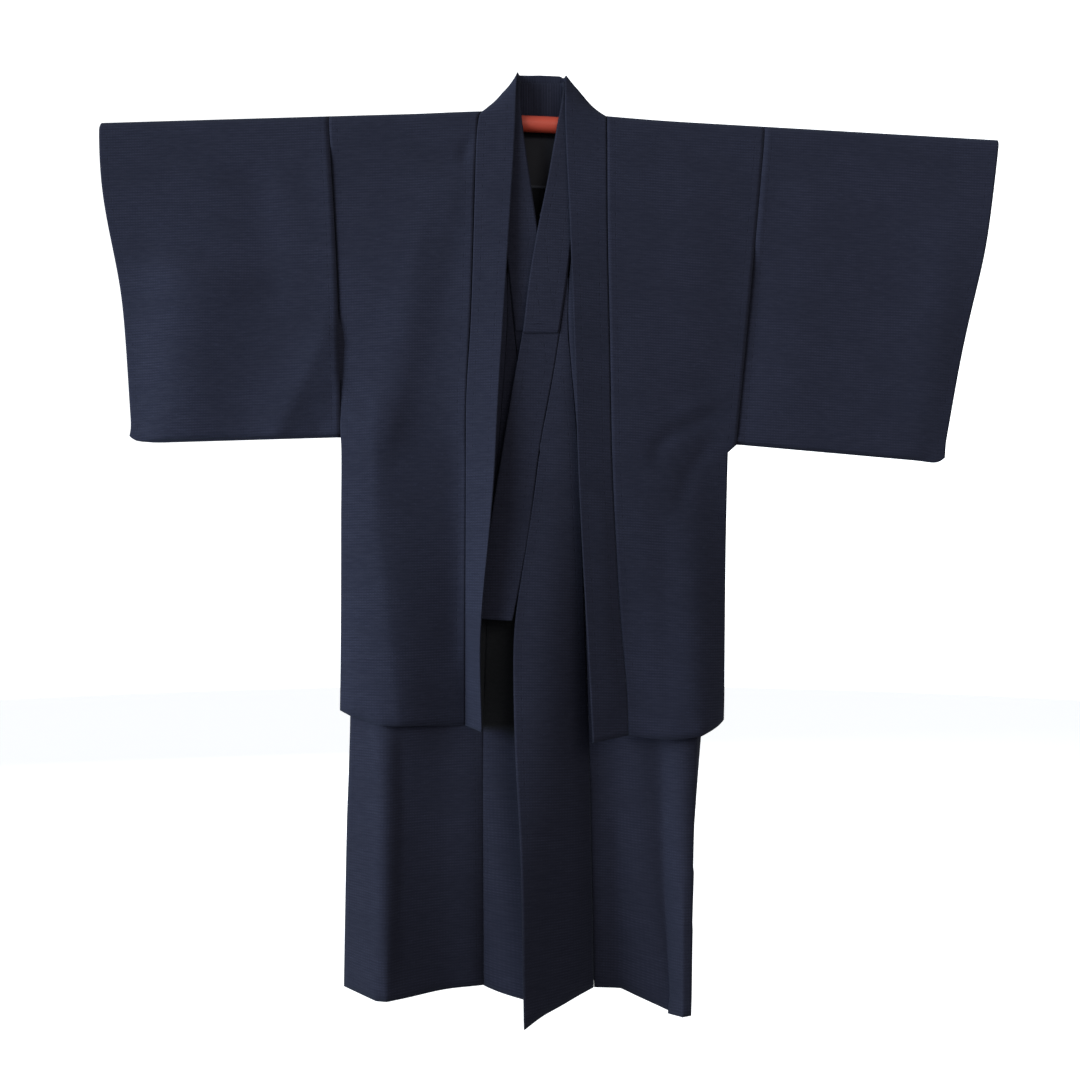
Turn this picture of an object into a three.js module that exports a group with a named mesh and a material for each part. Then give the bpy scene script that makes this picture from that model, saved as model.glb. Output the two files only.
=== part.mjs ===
// A haori jacket worn over a kimono, both of one navy cloth, hung open by their sleeves on a lacquered rod.
// Millimetres. X runs across, with the left pieces at -X; the front faces -Y; Z is up. The origin is the
// middle of the rod's axis. In the tables "out" is the distance from the middle plane to a piece's own side,
// "fwd" is the distance in front of the rod's axis, "drop" is the distance below it and "up" above it.
import * as THREE from 'three';

const CLOTH = 1.5;              // wall of one cloth
const OVER_COLLAR_WALL = 1.2;
const LINING_WALL = 1.0;
const SEAM_HALF = 0.4;          // each of two sewn pieces stops this far short of their seam
const LAYER_GAP = 0.6;          // air between one cloth and the next where they lie on the rod

const ROD = { radius: 12.5, leftEnd: -652, rightEnd: 676, steps: 34, sides: 16 };
const BOW = { tilt: 0.014, slope: 0.044, bend: 60, step: 3, stepRun: 90 };

const KIMONO_RADIUS = ROD.radius + LAYER_GAP + CLOTH / 2;
const HAORI_RADIUS = KIMONO_RADIUS + LAYER_GAP + CLOTH;
const NECK_LIFT = { height: 2.0, from: 100, to: 190 };   // the haori stands higher beside its neck
const SHOULDER_ANGLES = [157.5, 135, 112.5, 90, 67.5, 45, 20];
const NECK_ANGLE = 20;          // the back neckline lies this far above the rod's axis, round the rod

const LEFT = -1;
const RIGHT = 1;

const NAVY = { color: 0x22283a, roughness: 0.85, metalness: 0 };
const haoriCloth = new THREE.MeshStandardMaterial({ ...NAVY, name: 'haori_cloth' });
const kimonoCloth = new THREE.MeshStandardMaterial({ ...NAVY, color: 0x20253a, name: 'kimono_cloth' });
const liningCloth = new THREE.MeshStandardMaterial({ ...NAVY, color: 0x1a1d26, name: 'lining_cloth' });
const lacquer = new THREE.MeshStandardMaterial({
  color: 0xb04230, roughness: 0.45, metalness: 0, name: 'rod_lacquer',
});

// ---- Collars: a row for each section of the band, from its lower end to the middle of the back neck ----
// seamUp is measured from the rod's axis at that place, edgeUp from the origin. Where a row has an angle, its
// seam lies on the neckline's arc round the rod, at that angle from the back. hollow is how far the band dips
// between its seam and its free edge.

const HAORI_COLLAR_LEFT = onArc(HAORI_RADIUS + NECK_LIFT.height, [
  { run: 0, seamOut: 114.6, seamFwd: 16, seamUp: -930, edgeOut: 87.3, edgeFwd: 68, edgeUp: -932.3, hollow: 0 },
  { run: 135, seamOut: 114.4, seamFwd: 20, seamUp: -799, edgeOut: 90.2, edgeFwd: 70, edgeUp: -798, hollow: 0 },
  { run: 255, seamOut: 114.2, seamFwd: 24, seamUp: -676, edgeOut: 80.3, edgeFwd: 66, edgeUp: -675, hollow: 0 },
  { run: 375, seamOut: 113.9, seamFwd: 28, seamUp: -554, edgeOut: 69.3, edgeFwd: 60, edgeUp: -553, hollow: 0 },
  { run: 500, seamOut: 113.8, seamFwd: 30, seamUp: -431, edgeOut: 63.5, edgeFwd: 50, edgeUp: -430, hollow: 0 },
  { run: 605, seamOut: 107, seamFwd: 29, seamUp: -324, edgeOut: 57, edgeFwd: 40, edgeUp: -324, hollow: 0 },
  { run: 800, seamOut: 101.1, seamFwd: 24, seamUp: -124, edgeOut: 44.5, edgeFwd: 30, edgeUp: -123, hollow: 0 },
  { run: 905, seamOut: 98.3, seamFwd: 19, seamUp: -16, edgeOut: 38.3, edgeFwd: 24, edgeUp: -16, hollow: 1 },
  { run: 922, seamOut: 94.5, angle: 157.5, edgeOut: 37.4, edgeFwd: 22, edgeUp: 14, hollow: 2 },
  { run: 933, seamOut: 91.5, angle: 135, edgeOut: 37, edgeFwd: 19, edgeUp: 34, hollow: 3 },
  { run: 942, seamOut: 89, angle: 112.5, edgeOut: 36.3, edgeFwd: 13, edgeUp: 56, hollow: 5 },
  { run: 950, seamOut: 86.8, angle: 90, edgeOut: 35.6, edgeFwd: 5, edgeUp: 73, hollow: 6 },
  { run: 957, seamOut: 86.2, angle: 67.5, edgeOut: 34.6, edgeFwd: -3, edgeUp: 76.4, hollow: 6 },
  { run: 966, seamOut: 85, angle: 45, edgeOut: 33.8, edgeFwd: -11, edgeUp: 76.2, hollow: 4 },
  { run: 980, seamOut: 79, angle: 24, edgeOut: 33, edgeFwd: -18, edgeUp: 76, hollow: 2 },
  { run: 996, seamOut: 62, angle: 24, edgeOut: 31, edgeFwd: -22, edgeUp: 75.5, hollow: 0 },
  { run: 1020, seamOut: 30, angle: 24, edgeOut: 15, edgeFwd: -23, edgeUp: 75, hollow: 0 },
  { run: 1045, seamOut: 0, angle: 24, edgeOut: 0, edgeFwd: -23.5, edgeUp: 75, hollow: 0 },
]);
const HAORI_COLLAR_RIGHT = onArc(HAORI_RADIUS + NECK_LIFT.height, [
  { run: 0, seamOut: 134.7, seamFwd: 45, seamUp: -932, edgeOut: 79.3, edgeFwd: 74, edgeUp: -948, hollow: 0 },
  { run: 60, seamOut: 133.1, seamFwd: 44, seamUp: -871, edgeOut: 75.7, edgeFwd: 70, edgeUp: -877, hollow: 0 },
  { run: 165, seamOut: 122.4, seamFwd: 42, seamUp: -764, edgeOut: 69.8, edgeFwd: 65, edgeUp: -769, hollow: 0 },
  { run: 240, seamOut: 117.8, seamFwd: 40, seamUp: -686, edgeOut: 65.5, edgeFwd: 60, edgeUp: -692, hollow: 0 },
  { run: 410, seamOut: 109.7, seamFwd: 36, seamUp: -516, edgeOut: 57.5, edgeFwd: 50, edgeUp: -522, hollow: 0 },
  { run: 580, seamOut: 106.9, seamFwd: 31, seamUp: -342, edgeOut: 52.3, edgeFwd: 42, edgeUp: -348, hollow: 0 },
  { run: 805, seamOut: 103, seamFwd: 24, seamUp: -117, edgeOut: 44.3, edgeFwd: 31, edgeUp: -123, hollow: 0 },
  { run: 905, seamOut: 103, seamFwd: 19, seamUp: -16, edgeOut: 39, edgeFwd: 25, edgeUp: -14, hollow: 1 },
  { run: 922, seamOut: 103, angle: 157.5, edgeOut: 38.4, edgeFwd: 23, edgeUp: 12, hollow: 2 },
  { run: 933, seamOut: 103, angle: 135, edgeOut: 38.4, edgeFwd: 19, edgeUp: 32, hollow: 3 },
  { run: 942, seamOut: 102.7, angle: 112.5, edgeOut: 39.2, edgeFwd: 13, edgeUp: 54, hollow: 5 },
  { run: 950, seamOut: 102.3, angle: 90, edgeOut: 40.2, edgeFwd: 5, edgeUp: 70, hollow: 6 },
  { run: 957, seamOut: 101.5, angle: 67.5, edgeOut: 40.2, edgeFwd: -3, edgeUp: 73.3, hollow: 6 },
  { run: 966, seamOut: 99, angle: 45, edgeOut: 39, edgeFwd: -11, edgeUp: 73.5, hollow: 4 },
  { run: 980, seamOut: 92, angle: 24, edgeOut: 38, edgeFwd: -18, edgeUp: 73.8, hollow: 2 },
  { run: 996, seamOut: 70, angle: 24, edgeOut: 36, edgeFwd: -22, edgeUp: 74, hollow: 0 },
  { run: 1020, seamOut: 32, angle: 24, edgeOut: 18, edgeFwd: -23, edgeUp: 74.6, hollow: 0 },
  { run: 1045, seamOut: 0, angle: 24, edgeOut: 0, edgeFwd: -23.5, edgeUp: 75, hollow: 0 },
]);
// The kimono's left collar lies under its right one. Past their crossing an "out" is negative.
const KIMONO_COLLAR_LEFT = onArc(KIMONO_RADIUS, [
  { run: 0, seamOut: 2, seamFwd: 13, seamUp: -770, edgeOut: -52, edgeFwd: 14, edgeUp: -766, hollow: 0 },
  { run: 150, seamOut: 11, seamFwd: 16, seamUp: -622, edgeOut: -43, edgeFwd: 18, edgeUp: -622, hollow: 0 },
  { run: 285, seamOut: 22, seamFwd: 18, seamUp: -489, edgeOut: -32, edgeFwd: 20, edgeUp: -489, hollow: 0 },
  { run: 450, seamOut: 40, seamFwd: 18, seamUp: -322, edgeOut: -14, edgeFwd: 20, edgeUp: -322, hollow: 0 },
  { run: 615, seamOut: 59, seamFwd: 17, seamUp: -156, edgeOut: 5.2, edgeFwd: 19, edgeUp: -156, hollow: 0 },
  { run: 680, seamOut: 67.5, seamFwd: 17, seamUp: -93, edgeOut: 15, edgeFwd: 18, edgeUp: -91, hollow: 0 },
  { run: 770, seamOut: 79, seamFwd: 16, seamUp: -12, edgeOut: 26.3, edgeFwd: 16, edgeUp: -11, hollow: 0 },
  { run: 786, seamOut: 80.2, angle: 157.5, edgeOut: 29.3, edgeFwd: 14.5, edgeUp: 16, hollow: 0 },
  { run: 794, seamOut: 80.6, angle: 135, edgeOut: 30.4, edgeFwd: 12, edgeUp: 36, hollow: 2 },
  { run: 800, seamOut: 80.8, angle: 112.5, edgeOut: 31.1, edgeFwd: 8, edgeUp: 54, hollow: 3 },
  { run: 806, seamOut: 81, angle: 90, edgeOut: 31.5, edgeFwd: 3, edgeUp: 66, hollow: 4 },
  { run: 812, seamOut: 80.8, angle: 67.5, edgeOut: 31, edgeFwd: -3, edgeUp: 68.5, hollow: 4 },
  { run: 819, seamOut: 80, angle: 45, edgeOut: 30.4, edgeFwd: -8, edgeUp: 69, hollow: 2 },
  { run: 830, seamOut: 75, angle: 27, edgeOut: 29.6, edgeFwd: -12, edgeUp: 69, hollow: 1 },
  { run: 843, seamOut: 60, angle: 25, edgeOut: 28, edgeFwd: -15.5, edgeUp: 69, hollow: 0 },
  { run: 865, seamOut: 30, angle: 25, edgeOut: 15, edgeFwd: -16.5, edgeUp: 69, hollow: 0 },
  { run: 890, seamOut: 0, angle: 25, edgeOut: 0, edgeFwd: -17, edgeUp: 69, hollow: 0 },
]);
const KIMONO_COLLAR_RIGHT = onArc(KIMONO_RADIUS, [
  { run: 0, seamOut: -40.9, seamFwd: 47, seamUp: -768, edgeOut: -92.3, edgeFwd: 44, edgeUp: -764, hollow: 0 },
  { run: 75, seamOut: -26.4, seamFwd: 39.5, seamUp: -693, edgeOut: -85.1, edgeFwd: 41, edgeUp: -693, hollow: 0 },
  { run: 145, seamOut: -14.9, seamFwd: 35.5, seamUp: -624, edgeOut: -76.1, edgeFwd: 38, edgeUp: -624, hollow: 0 },
  { run: 280, seamOut: 1.5, seamFwd: 31, seamUp: -493, edgeOut: -54.9, edgeFwd: 33, edgeUp: -493, hollow: 0 },
  { run: 392, seamOut: 22.5, seamFwd: 28, seamUp: -382, edgeOut: -36.5, edgeFwd: 30, edgeUp: -382, hollow: 0 },
  { run: 448, seamOut: 30.6, seamFwd: 27, seamUp: -326, edgeOut: -26.2, edgeFwd: 28.5, edgeUp: -328, hollow: 0 },
  { run: 528, seamOut: 42.3, seamFwd: 26, seamUp: -247, edgeOut: -17.6, edgeFwd: 26.5, edgeUp: -249, hollow: 0 },
  { run: 622, seamOut: 54, seamFwd: 24, seamUp: -152, edgeOut: -1.5, edgeFwd: 25, edgeUp: -156, hollow: 0 },
  { run: 685, seamOut: 66, seamFwd: 21.5, seamUp: -90, edgeOut: 10.9, edgeFwd: 22.5, edgeUp: -97, hollow: 0 },
  { run: 768, seamOut: 83, seamFwd: 17, seamUp: -12, edgeOut: 24.5, edgeFwd: 18, edgeUp: -17, hollow: 0 },
  { run: 784, seamOut: 85.5, angle: 157.5, edgeOut: 29.4, edgeFwd: 15.5, edgeUp: 9, hollow: 0 },
  { run: 792, seamOut: 86, angle: 135, edgeOut: 33, edgeFwd: 12.5, edgeUp: 30, hollow: 2 },
  { run: 799, seamOut: 86.4, angle: 112.5, edgeOut: 35.2, edgeFwd: 8, edgeUp: 48, hollow: 3 },
  { run: 806, seamOut: 86.5, angle: 90, edgeOut: 36.6, edgeFwd: 3, edgeUp: 62, hollow: 4 },
  { run: 812, seamOut: 86, angle: 67.5, edgeOut: 36.8, edgeFwd: -3, edgeUp: 67, hollow: 4 },
  { run: 819, seamOut: 85, angle: 45, edgeOut: 36.2, edgeFwd: -8, edgeUp: 68, hollow: 2 },
  { run: 830, seamOut: 79, angle: 27, edgeOut: 35, edgeFwd: -12, edgeUp: 68, hollow: 1 },
  { run: 843, seamOut: 62, angle: 25, edgeOut: 32.5, edgeFwd: -15.5, edgeUp: 68.4, hollow: 0 },
  { run: 865, seamOut: 30, angle: 25, edgeOut: 16, edgeFwd: -16.5, edgeUp: 69, hollow: 0 },
  { run: 890, seamOut: 0, angle: 25, edgeOut: 0, edgeFwd: -17, edgeUp: 69, hollow: 0 },
]);
const OVER_COLLAR_FROM_RUN = 448;   // the over-collar's ends, on both sides
const COLLAR_RUN_STEP = 62;         // longest stretch between two sections of a band
const COLLAR_INSET = 1.1;           // a band turns at its seam, so it stops further from it than a panel does

// ---- Body panels ----
// Where each body stops at its side: the armhole seam down to the armpit, then the side seam.
const ARMPIT = 480;
const ARM_DROPS = [0, 80, 160, 240, 320, 400, ARMPIT];   // the rows that a body and its sleeve share
const BELOW_ARMPIT = 492;       // the next row of a body, where its side seam starts
const HAORI_ARM_LEFT = [
  { drop: 0, out: 325 }, { drop: 160, out: 315.5 }, { drop: 320, out: 309.5 }, { drop: 480, out: 307 },
];
const HAORI_ARM_RIGHT = [
  { drop: 0, out: 345.5 }, { drop: 160, out: 332 }, { drop: 320, out: 318 }, { drop: 480, out: 303 },
];
const ARM_STEP_IN = 8;          // the kimono's armhole lies this far inside the haori's
const HAORI_SIDE_LEFT = [{ drop: 480, out: 304.5 }, { drop: 799, out: 306 }, { drop: 910, out: 308 }];
const HAORI_SIDE_RIGHT = [{ drop: 480, out: 290.5 }, { drop: 660, out: 286.3 }, { drop: 905, out: 284 }];
const KIMONO_SIDE_LEFT = [
  { drop: 480, out: 297 }, { drop: 911, out: 291.2 }, { drop: 1023, out: 297.7 }, { drop: 1185, out: 301 },
  { drop: 1335, out: 303.5 },
];
const KIMONO_SIDE_RIGHT = [
  { drop: 480, out: 283 }, { drop: 925, out: 249 }, { drop: 1046, out: 239 }, { drop: 1130, out: 232 },
  { drop: 1340, out: 221 },
];

// A row for each fold line of a front or back, from its inner edge to its side: where it lies at the
// shoulder, at the armpit, at the haori's hem and at the kimono's hem. A side row takes its outs from above.
const HAORI_FRONT_LEFT = {
  levels: [0, 480, 925],
  folds: [
    { fold: 'collar trough', outs: [132, 141, 139], fwds: [null, 22, 23], hem: 929 },
    { fold: 'crest', outs: [180, 190, 192], fwds: [null, 24, 40], hem: 925 },
    { fold: 'outer crest', outs: [232, 240, 240], fwds: [null, 20, 44], hem: 923 },
    { fold: 'side crest', outs: [285, 283, 287], fwds: [null, 14, 30], hem: 910 },
    { fold: 'side', outs: [325, 304, 308], fwds: [null, 8.5, 9], hem: 903 },
  ],
};
const HAORI_FRONT_RIGHT = {
  levels: [0, 480, 925],
  folds: [
    { fold: 'collar trough', outs: [145, 150, 166], fwds: [null, 33, 48], hem: 935 },
    { fold: 'crest', outs: [190, 190, 206], fwds: [null, 28, 52], hem: 935 },
    { fold: 'outer crest', outs: [245, 230, 245], fwds: [null, 21, 47], hem: 927 },
    { fold: 'side crest', outs: [302, 265, 272], fwds: [null, 13, 24], hem: 915 },
    { fold: 'side', outs: [346, 291, 284], fwds: [null, 8.5, 6], hem: 905 },
  ],
};
const HAORI_BACK = {
  left: {
    levels: [0, 480, 925],
    folds: [
      { fold: 'centre seam', outs: [0.3, 0.3, 0.3], fwds: [null, -18, -24], hem: 915 },
      { fold: 'centre', outs: [45, 45, 45], fwds: [null, -18, -28], hem: 915 },
      { fold: 'neck', outs: [87, 90, 92], fwds: [null, -18, -32], hem: 915 },
      { fold: 'inner swell', outs: [132, 140, 142], fwds: [null, -17, -30], hem: 915 },
      { fold: 'trough', outs: [180, 190, 192], fwds: [null, -16, -27], hem: 914 },
      { fold: 'outer swell', outs: [232, 240, 240], fwds: [null, -15, -36], hem: 912 },
      { fold: 'side swell', outs: [285, 280, 284], fwds: [null, -11, -42], hem: 908 },
      { fold: 'side', outs: [325, 304, 308], fwds: [null, -8.5, -38], hem: 903 },
    ],
  },
  right: {
    levels: [0, 480, 925],
    folds: [
      { fold: 'centre seam', outs: [0.3, 0.3, 0.3], fwds: [null, -18, -24], hem: 915 },
      { fold: 'centre', outs: [45, 45, 45], fwds: [null, -18, -29], hem: 915 },
      { fold: 'neck', outs: [102, 100, 98], fwds: [null, -18, -33], hem: 915 },
      { fold: 'inner swell', outs: [145, 148, 145], fwds: [null, -17, -30], hem: 915 },
      { fold: 'trough', outs: [190, 190, 188], fwds: [null, -16, -27], hem: 914 },
      { fold: 'outer swell', outs: [245, 232, 230], fwds: [null, -14, -34], hem: 912 },
      { fold: 'side swell', outs: [302, 268, 266], fwds: [null, -11, -42], hem: 909 },
      { fold: 'side', outs: [346, 291, 284], fwds: [null, -8.5, -40], hem: 905 },
    ],
  },
};
const KIMONO_FRONT_LEFT = {
  levels: [0, 480, 925, 1335],
  folds: [
    { fold: 'inner fold', outs: [122, 122, 114, 113], fwds: [null, 17, 9, 9], hem: 1332 },
    { fold: 'rise', outs: [160, 162, 152, 150], fwds: [null, 16, 17, 23], hem: 1332 },
    { fold: 'slope', outs: [205, 205, 195, 195], fwds: [null, 14, 29, 60], hem: 1332 },
    { fold: 'ridge', outs: [245, 240, 231, 229], fwds: [null, 11, 35, 78], hem: 1332 },
    { fold: 'ridge edge', outs: [280, 264, 248, 245], fwds: [null, 8.5, 31, 73], hem: 1332 },
    { fold: 'side', outs: [317, 297, 291, 303.5], fwds: [null, 2.4, 2.4, 2.4], hem: 1331 },
  ],
};
const KIMONO_FRONT_RIGHT = {
  levels: [0, 480, 925, 1335],
  folds: [
    { fold: 'valley', outs: [128, 120, 116, 121], fwds: [null, 28, 13, 5], hem: 1329 },
    { fold: 'rise', outs: [168, 150, 150, 158], fwds: [null, 25, 30, 66], hem: 1333 },
    { fold: 'slope', outs: [212, 185, 184, 178], fwds: [null, 20, 41, 84], hem: 1336 },
    { fold: 'ridge', outs: [262, 225, 220, 212], fwds: [null, 14, 38, 95], hem: 1338 },
    { fold: 'ridge edge', outs: [302, 260, 240, 225], fwds: [null, 9, 28, 88], hem: 1337 },
    { fold: 'side', outs: [338, 287, 249, 221], fwds: [null, 2.4, 8, 46], hem: 1335 },
  ],
};
const KIMONO_BACK = {
  left: {
    levels: [0, 480, 925, 1335],
    folds: [
      { fold: 'centre seam', outs: [0.3, 0.3, 0.3, 0.3], fwds: [null, -12, -15, -20], hem: 1332 },
      { fold: 'centre', outs: [45, 45, 45, 45], fwds: [null, -12, -17, -27], hem: 1332 },
      { fold: 'neck', outs: [81, 85, 88, 90], fwds: [null, -12, -19, -36], hem: 1332 },
      { fold: 'swell', outs: [122, 128, 130, 134], fwds: [null, -12, -18, -28], hem: 1332 },
      { fold: 'trough', outs: [160, 165, 170, 176], fwds: [null, -11, -14, -20], hem: 1332 },
      { fold: 'outer swell', outs: [205, 205, 208, 216], fwds: [null, -10, -15, -32], hem: 1332 },
      { fold: 'outer trough', outs: [245, 240, 240, 252], fwds: [null, -8.5, -15, -36], hem: 1332 },
      { fold: 'side slope', outs: [280, 266, 266, 280], fwds: [null, -6.5, -12, -24], hem: 1332 },
      { fold: 'side', outs: [317, 297, 291, 303.5], fwds: [null, -2.4, 0, 0], hem: 1331 },
    ],
  },
  right: {
    levels: [0, 480, 925, 1335],
    folds: [
      { fold: 'centre seam', outs: [0.3, 0.3, 0.3, 0.3], fwds: [null, -12, -15, -20], hem: 1332 },
      { fold: 'centre', outs: [45, 45, 45, 48], fwds: [null, -12, -17, -30], hem: 1332 },
      { fold: 'neck', outs: [86.5, 88, 86, 82], fwds: [null, -12, -19, -37], hem: 1332 },
      { fold: 'swell', outs: [128, 128, 120, 112], fwds: [null, -12, -16, -24], hem: 1333 },
      { fold: 'trough', outs: [168, 164, 152, 144], fwds: [null, -11, -13, -18], hem: 1334 },
      { fold: 'outer swell', outs: [212, 200, 182, 176], fwds: [null, -10, -14, -26], hem: 1335 },
      { fold: 'outer trough', outs: [262, 230, 208, 202], fwds: [null, -8, -13, -24], hem: 1336 },
      { fold: 'side slope', outs: [302, 262, 234, 219], fwds: [null, -6, -8, -2], hem: 1336 },
      { fold: 'side', outs: [338, 287, 249, 221], fwds: [null, -2.4, 5.6, 43.6], hem: 1335 },
    ],
  },
};

// Overlap panels: the seam to the front, and the free edge below the collar's end. Above it the edge is the
// collar's own seam.
const OVERLAP_TOP_DROP = 320;
const KIMONO_OVERLAP_SEAM_LEFT = [
  { drop: 320, out: 50, fwd: 17 }, { drop: 480, out: 62, fwd: 17 }, { drop: 770, out: 82, fwd: 10 },
  { drop: 925, out: 88, fwd: 6 }, { drop: 1340, out: 87, fwd: 0 },
];
const KIMONO_OVERLAP_SEAM_RIGHT = [
  { drop: 320, out: 42, fwd: 27 }, { drop: 480, out: 57, fwd: 30 }, { drop: 770, out: 70, fwd: 22 },
  { drop: 925, out: 75, fwd: 12 }, { drop: 1340, out: 83.5, fwd: 3 },
];
const KIMONO_OVERLAP_EDGE_LEFT = [
  { drop: 770, out: 2, fwd: 13 }, { drop: 925, out: 3, fwd: 33 }, { drop: 1340, out: 5, fwd: 92 },
];
const KIMONO_OVERLAP_EDGE_RIGHT = [
  { drop: 768, out: -40.9, fwd: 47 }, { drop: 925, out: -39.1, fwd: 60 }, { drop: 1140, out: -27.2, fwd: 84 },
  { drop: 1365, out: -23, fwd: 118 },
];
// How far an overlap panel bulges forward of the straight line from its seam to its edge, at each drop.
const OVERLAP_BULGE_LEFT = [
  { drop: 320, bulge: 0 }, { drop: 770, bulge: 0 }, { drop: 925, bulge: 4 }, { drop: 1340, bulge: 18 },
];
const OVERLAP_BULGE_RIGHT = [
  { drop: 320, bulge: 0 }, { drop: 600, bulge: 4 }, { drop: 770, bulge: 11 }, { drop: 925, bulge: 15 },
  { drop: 1140, bulge: 8 }, { drop: 1365, bulge: 4 },
];
const OVERLAP_LEFT_HEMS = [1332, 1333, 1334, 1335, 1336];
const OVERLAP_RIGHT_HEMS = [1331, 1336, 1344, 1349, 1362];

// ---- Sleeves: the cuff's line and the bottom's, and how deep the bag is at each drop ----
const HAORI_SLEEVE_LEFT = {
  cuff: [
    { drop: -15, out: 677 }, { drop: 25, out: 680.5 }, { drop: 118, out: 672.7 }, { drop: 180, out: 658.8 },
    { drop: 257, out: 644.8 }, { drop: 335, out: 640 }, { drop: 485, out: 629.5 },
  ],
  bottomAtBody: 481, bottomAtCuff: 481,
};
const HAORI_SLEEVE_RIGHT = {
  cuff: [
    { drop: -15, out: 706.8 }, { drop: 76, out: 697.5 }, { drop: 154, out: 688.2 }, { drop: 200, out: 679 },
    { drop: 262, out: 663.4 }, { drop: 488, out: 623 },
  ],
  bottomAtBody: 478, bottomAtCuff: 488,
};
const KIMONO_SLEEVE_INSET = 24;
const KIMONO_BOTTOM_INSET = 15;
const SLEEVE_DEPTHS = [
  { drop: 0, haori: HAORI_RADIUS, kimono: KIMONO_RADIUS }, { drop: 60, haori: 14, kimono: 11.2 },
  { drop: 150, haori: 11.5, kimono: 8.2 }, { drop: 300, haori: 9.5, kimono: 6 }, { drop: 480, haori: 7.5, kimono: 4 },
];
const SLEEVE_STATIONS = [0, 0.2, 0.42, 0.64, 0.84, 0.93, 1];
const CUFF_PINCH = { from: 0.84, open: 200, shut: 285, half: 1.1 };   // the cuff is sewn shut below its opening
const CUFF_CORNER = 12;
const BOTTOM_FOLD = 5;          // the front and back of a sleeve start to close this far above its bottom

const GUSSET = { top: 494, clear: 1.15, swell: 3 };
const HAORI_ROWS = 5;           // rows of cells below the armpit
const KIMONO_ROWS = 9;
const LINING = { top: 17, bottom: 96, out: 150, columns: 6, rows: 3 };

// ---- Reading the tables ----

// Puts a collar table's neck rows on the neckline's arc.
function onArc(radius, rows) {
  return rows.map((row) => {
    if (row.angle === undefined) return row;
    const turn = THREE.MathUtils.degToRad(row.angle);
    return { ...row, seamFwd: -radius * Math.cos(turn), seamUp: radius * Math.sin(turn) };
  });
}

// One column of a table at a place along another, on a curve through the rows that never overshoots them.
function read(rows, by, at, column) {
  const flip = rows[0][by] > rows[rows.length - 1][by] ? -1 : 1;
  const xs = rows.map((row) => row[by] * flip);
  const ys = rows.map((row) => row[column]);
  return steadyCurve(xs, ys, at * flip);
}

function steadyCurve(xs, ys, x) {
  const last = xs.length - 1;
  if (x <= xs[0]) return ys[0];
  if (x >= xs[last]) return ys[last];
  const rise = (i) => (ys[i + 1] - ys[i]) / (xs[i + 1] - xs[i]);
  const slope = (i) => {
    if (i === 0 || i === last) return i === 0 ? rise(0) : rise(last - 1);
    const before = rise(i - 1);
    const after = rise(i);
    return before * after <= 0 ? 0 : (2 * before * after) / (before + after);
  };
  const i = xs.findIndex((value, k) => k < last && x < xs[k + 1]);
  const span = xs[i + 1] - xs[i];
  const t = (x - xs[i]) / span;
  const start = (1 + 2 * t) * (1 - t) ** 2 * ys[i] + t * (1 - t) ** 2 * span * slope(i);
  return start + t * t * (3 - 2 * t) * ys[i + 1] + t * t * (t - 1) * span * slope(i + 1);
}

const mix = THREE.MathUtils.lerp;
const steps = (from, to, count) => Array.from({ length: count + 1 }, (_, i) => mix(from, to, i / count));

// Height of the rod's axis: a slight bow that leans to the right.
function rodHeight(x) {
  const bow = BOW.slope * (Math.hypot(x, BOW.bend) - BOW.bend);
  return -BOW.tilt * x - bow - (BOW.step * x) / Math.hypot(x, BOW.stepRun);
}

function haoriRadius(out) {
  return HAORI_RADIUS + NECK_LIFT.height * (1 - THREE.MathUtils.smoothstep(out, NECK_LIFT.from, NECK_LIFT.to));
}

// A point of one side's piece, with its height counted from the rod's axis there.
function place(side, out, fwd, up) {
  return new THREE.Vector3(side * out, -fwd, rodHeight(side * out) + up);
}

// ---- Making closed walls ----

// A wall of cloth round a grid of points on its middle surface. kept says which cells of the grid are cloth;
// closed joins the last column to the first, and lift moves the whole wall along its normals.
function wall(name, material, grid, thick, { kept = () => true, closed = false, lift = 0 } = {}) {
  const rows = grid.length;
  const columns = grid[0].length;
  const cells = [];
  for (let i = 0; i + 1 < rows; i += 1) {
    for (let j = 0; j + (closed ? 0 : 1) < columns; j += 1) {
      if (kept(i, j)) cells.push([i, j, i + 1, (j + 1) % columns]);
    }
  }
  const index = (i, j) => i * columns + j;
  const points = grid.flat();
  const normals = points.map(() => new THREE.Vector3());
  const triangles = [];
  for (const [i, j, k, l] of cells) {
    const corners = [index(i, j), index(k, j), index(k, l), index(i, l)];
    const across = points[corners[2]].clone().sub(points[corners[0]]);
    const along = points[corners[3]].clone().sub(points[corners[1]]);
    const normal = across.cross(along).normalize();
    corners.forEach((corner) => normals[corner].add(normal));
    triangles.push([corners[0], corners[1], corners[2]], [corners[0], corners[2], corners[3]]);
  }
  normals.forEach((normal) => normal.normalize());
  const outer = points.map((point, n) => point.clone().addScaledVector(normals[n], lift + thick / 2));
  const inner = points.map((point, n) => point.clone().addScaledVector(normals[n], lift - thick / 2));
  const faces = [];
  const edges = new Map();
  for (const [a, b, c] of triangles) {
    faces.push([outer[a], outer[b], outer[c]], [inner[a], inner[c], inner[b]]);
    [[a, b], [b, c], [c, a]].forEach(([from, to]) => edges.set(`${from},${to}`, [from, to]));
  }
  for (const [from, to] of edges.values()) {
    if (!edges.has(`${to},${from}`)) {
      faces.push([outer[to], outer[from], inner[from]], [outer[to], inner[from], inner[to]]);
    }
  }
  return solid(name, material, faces);
}

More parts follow.
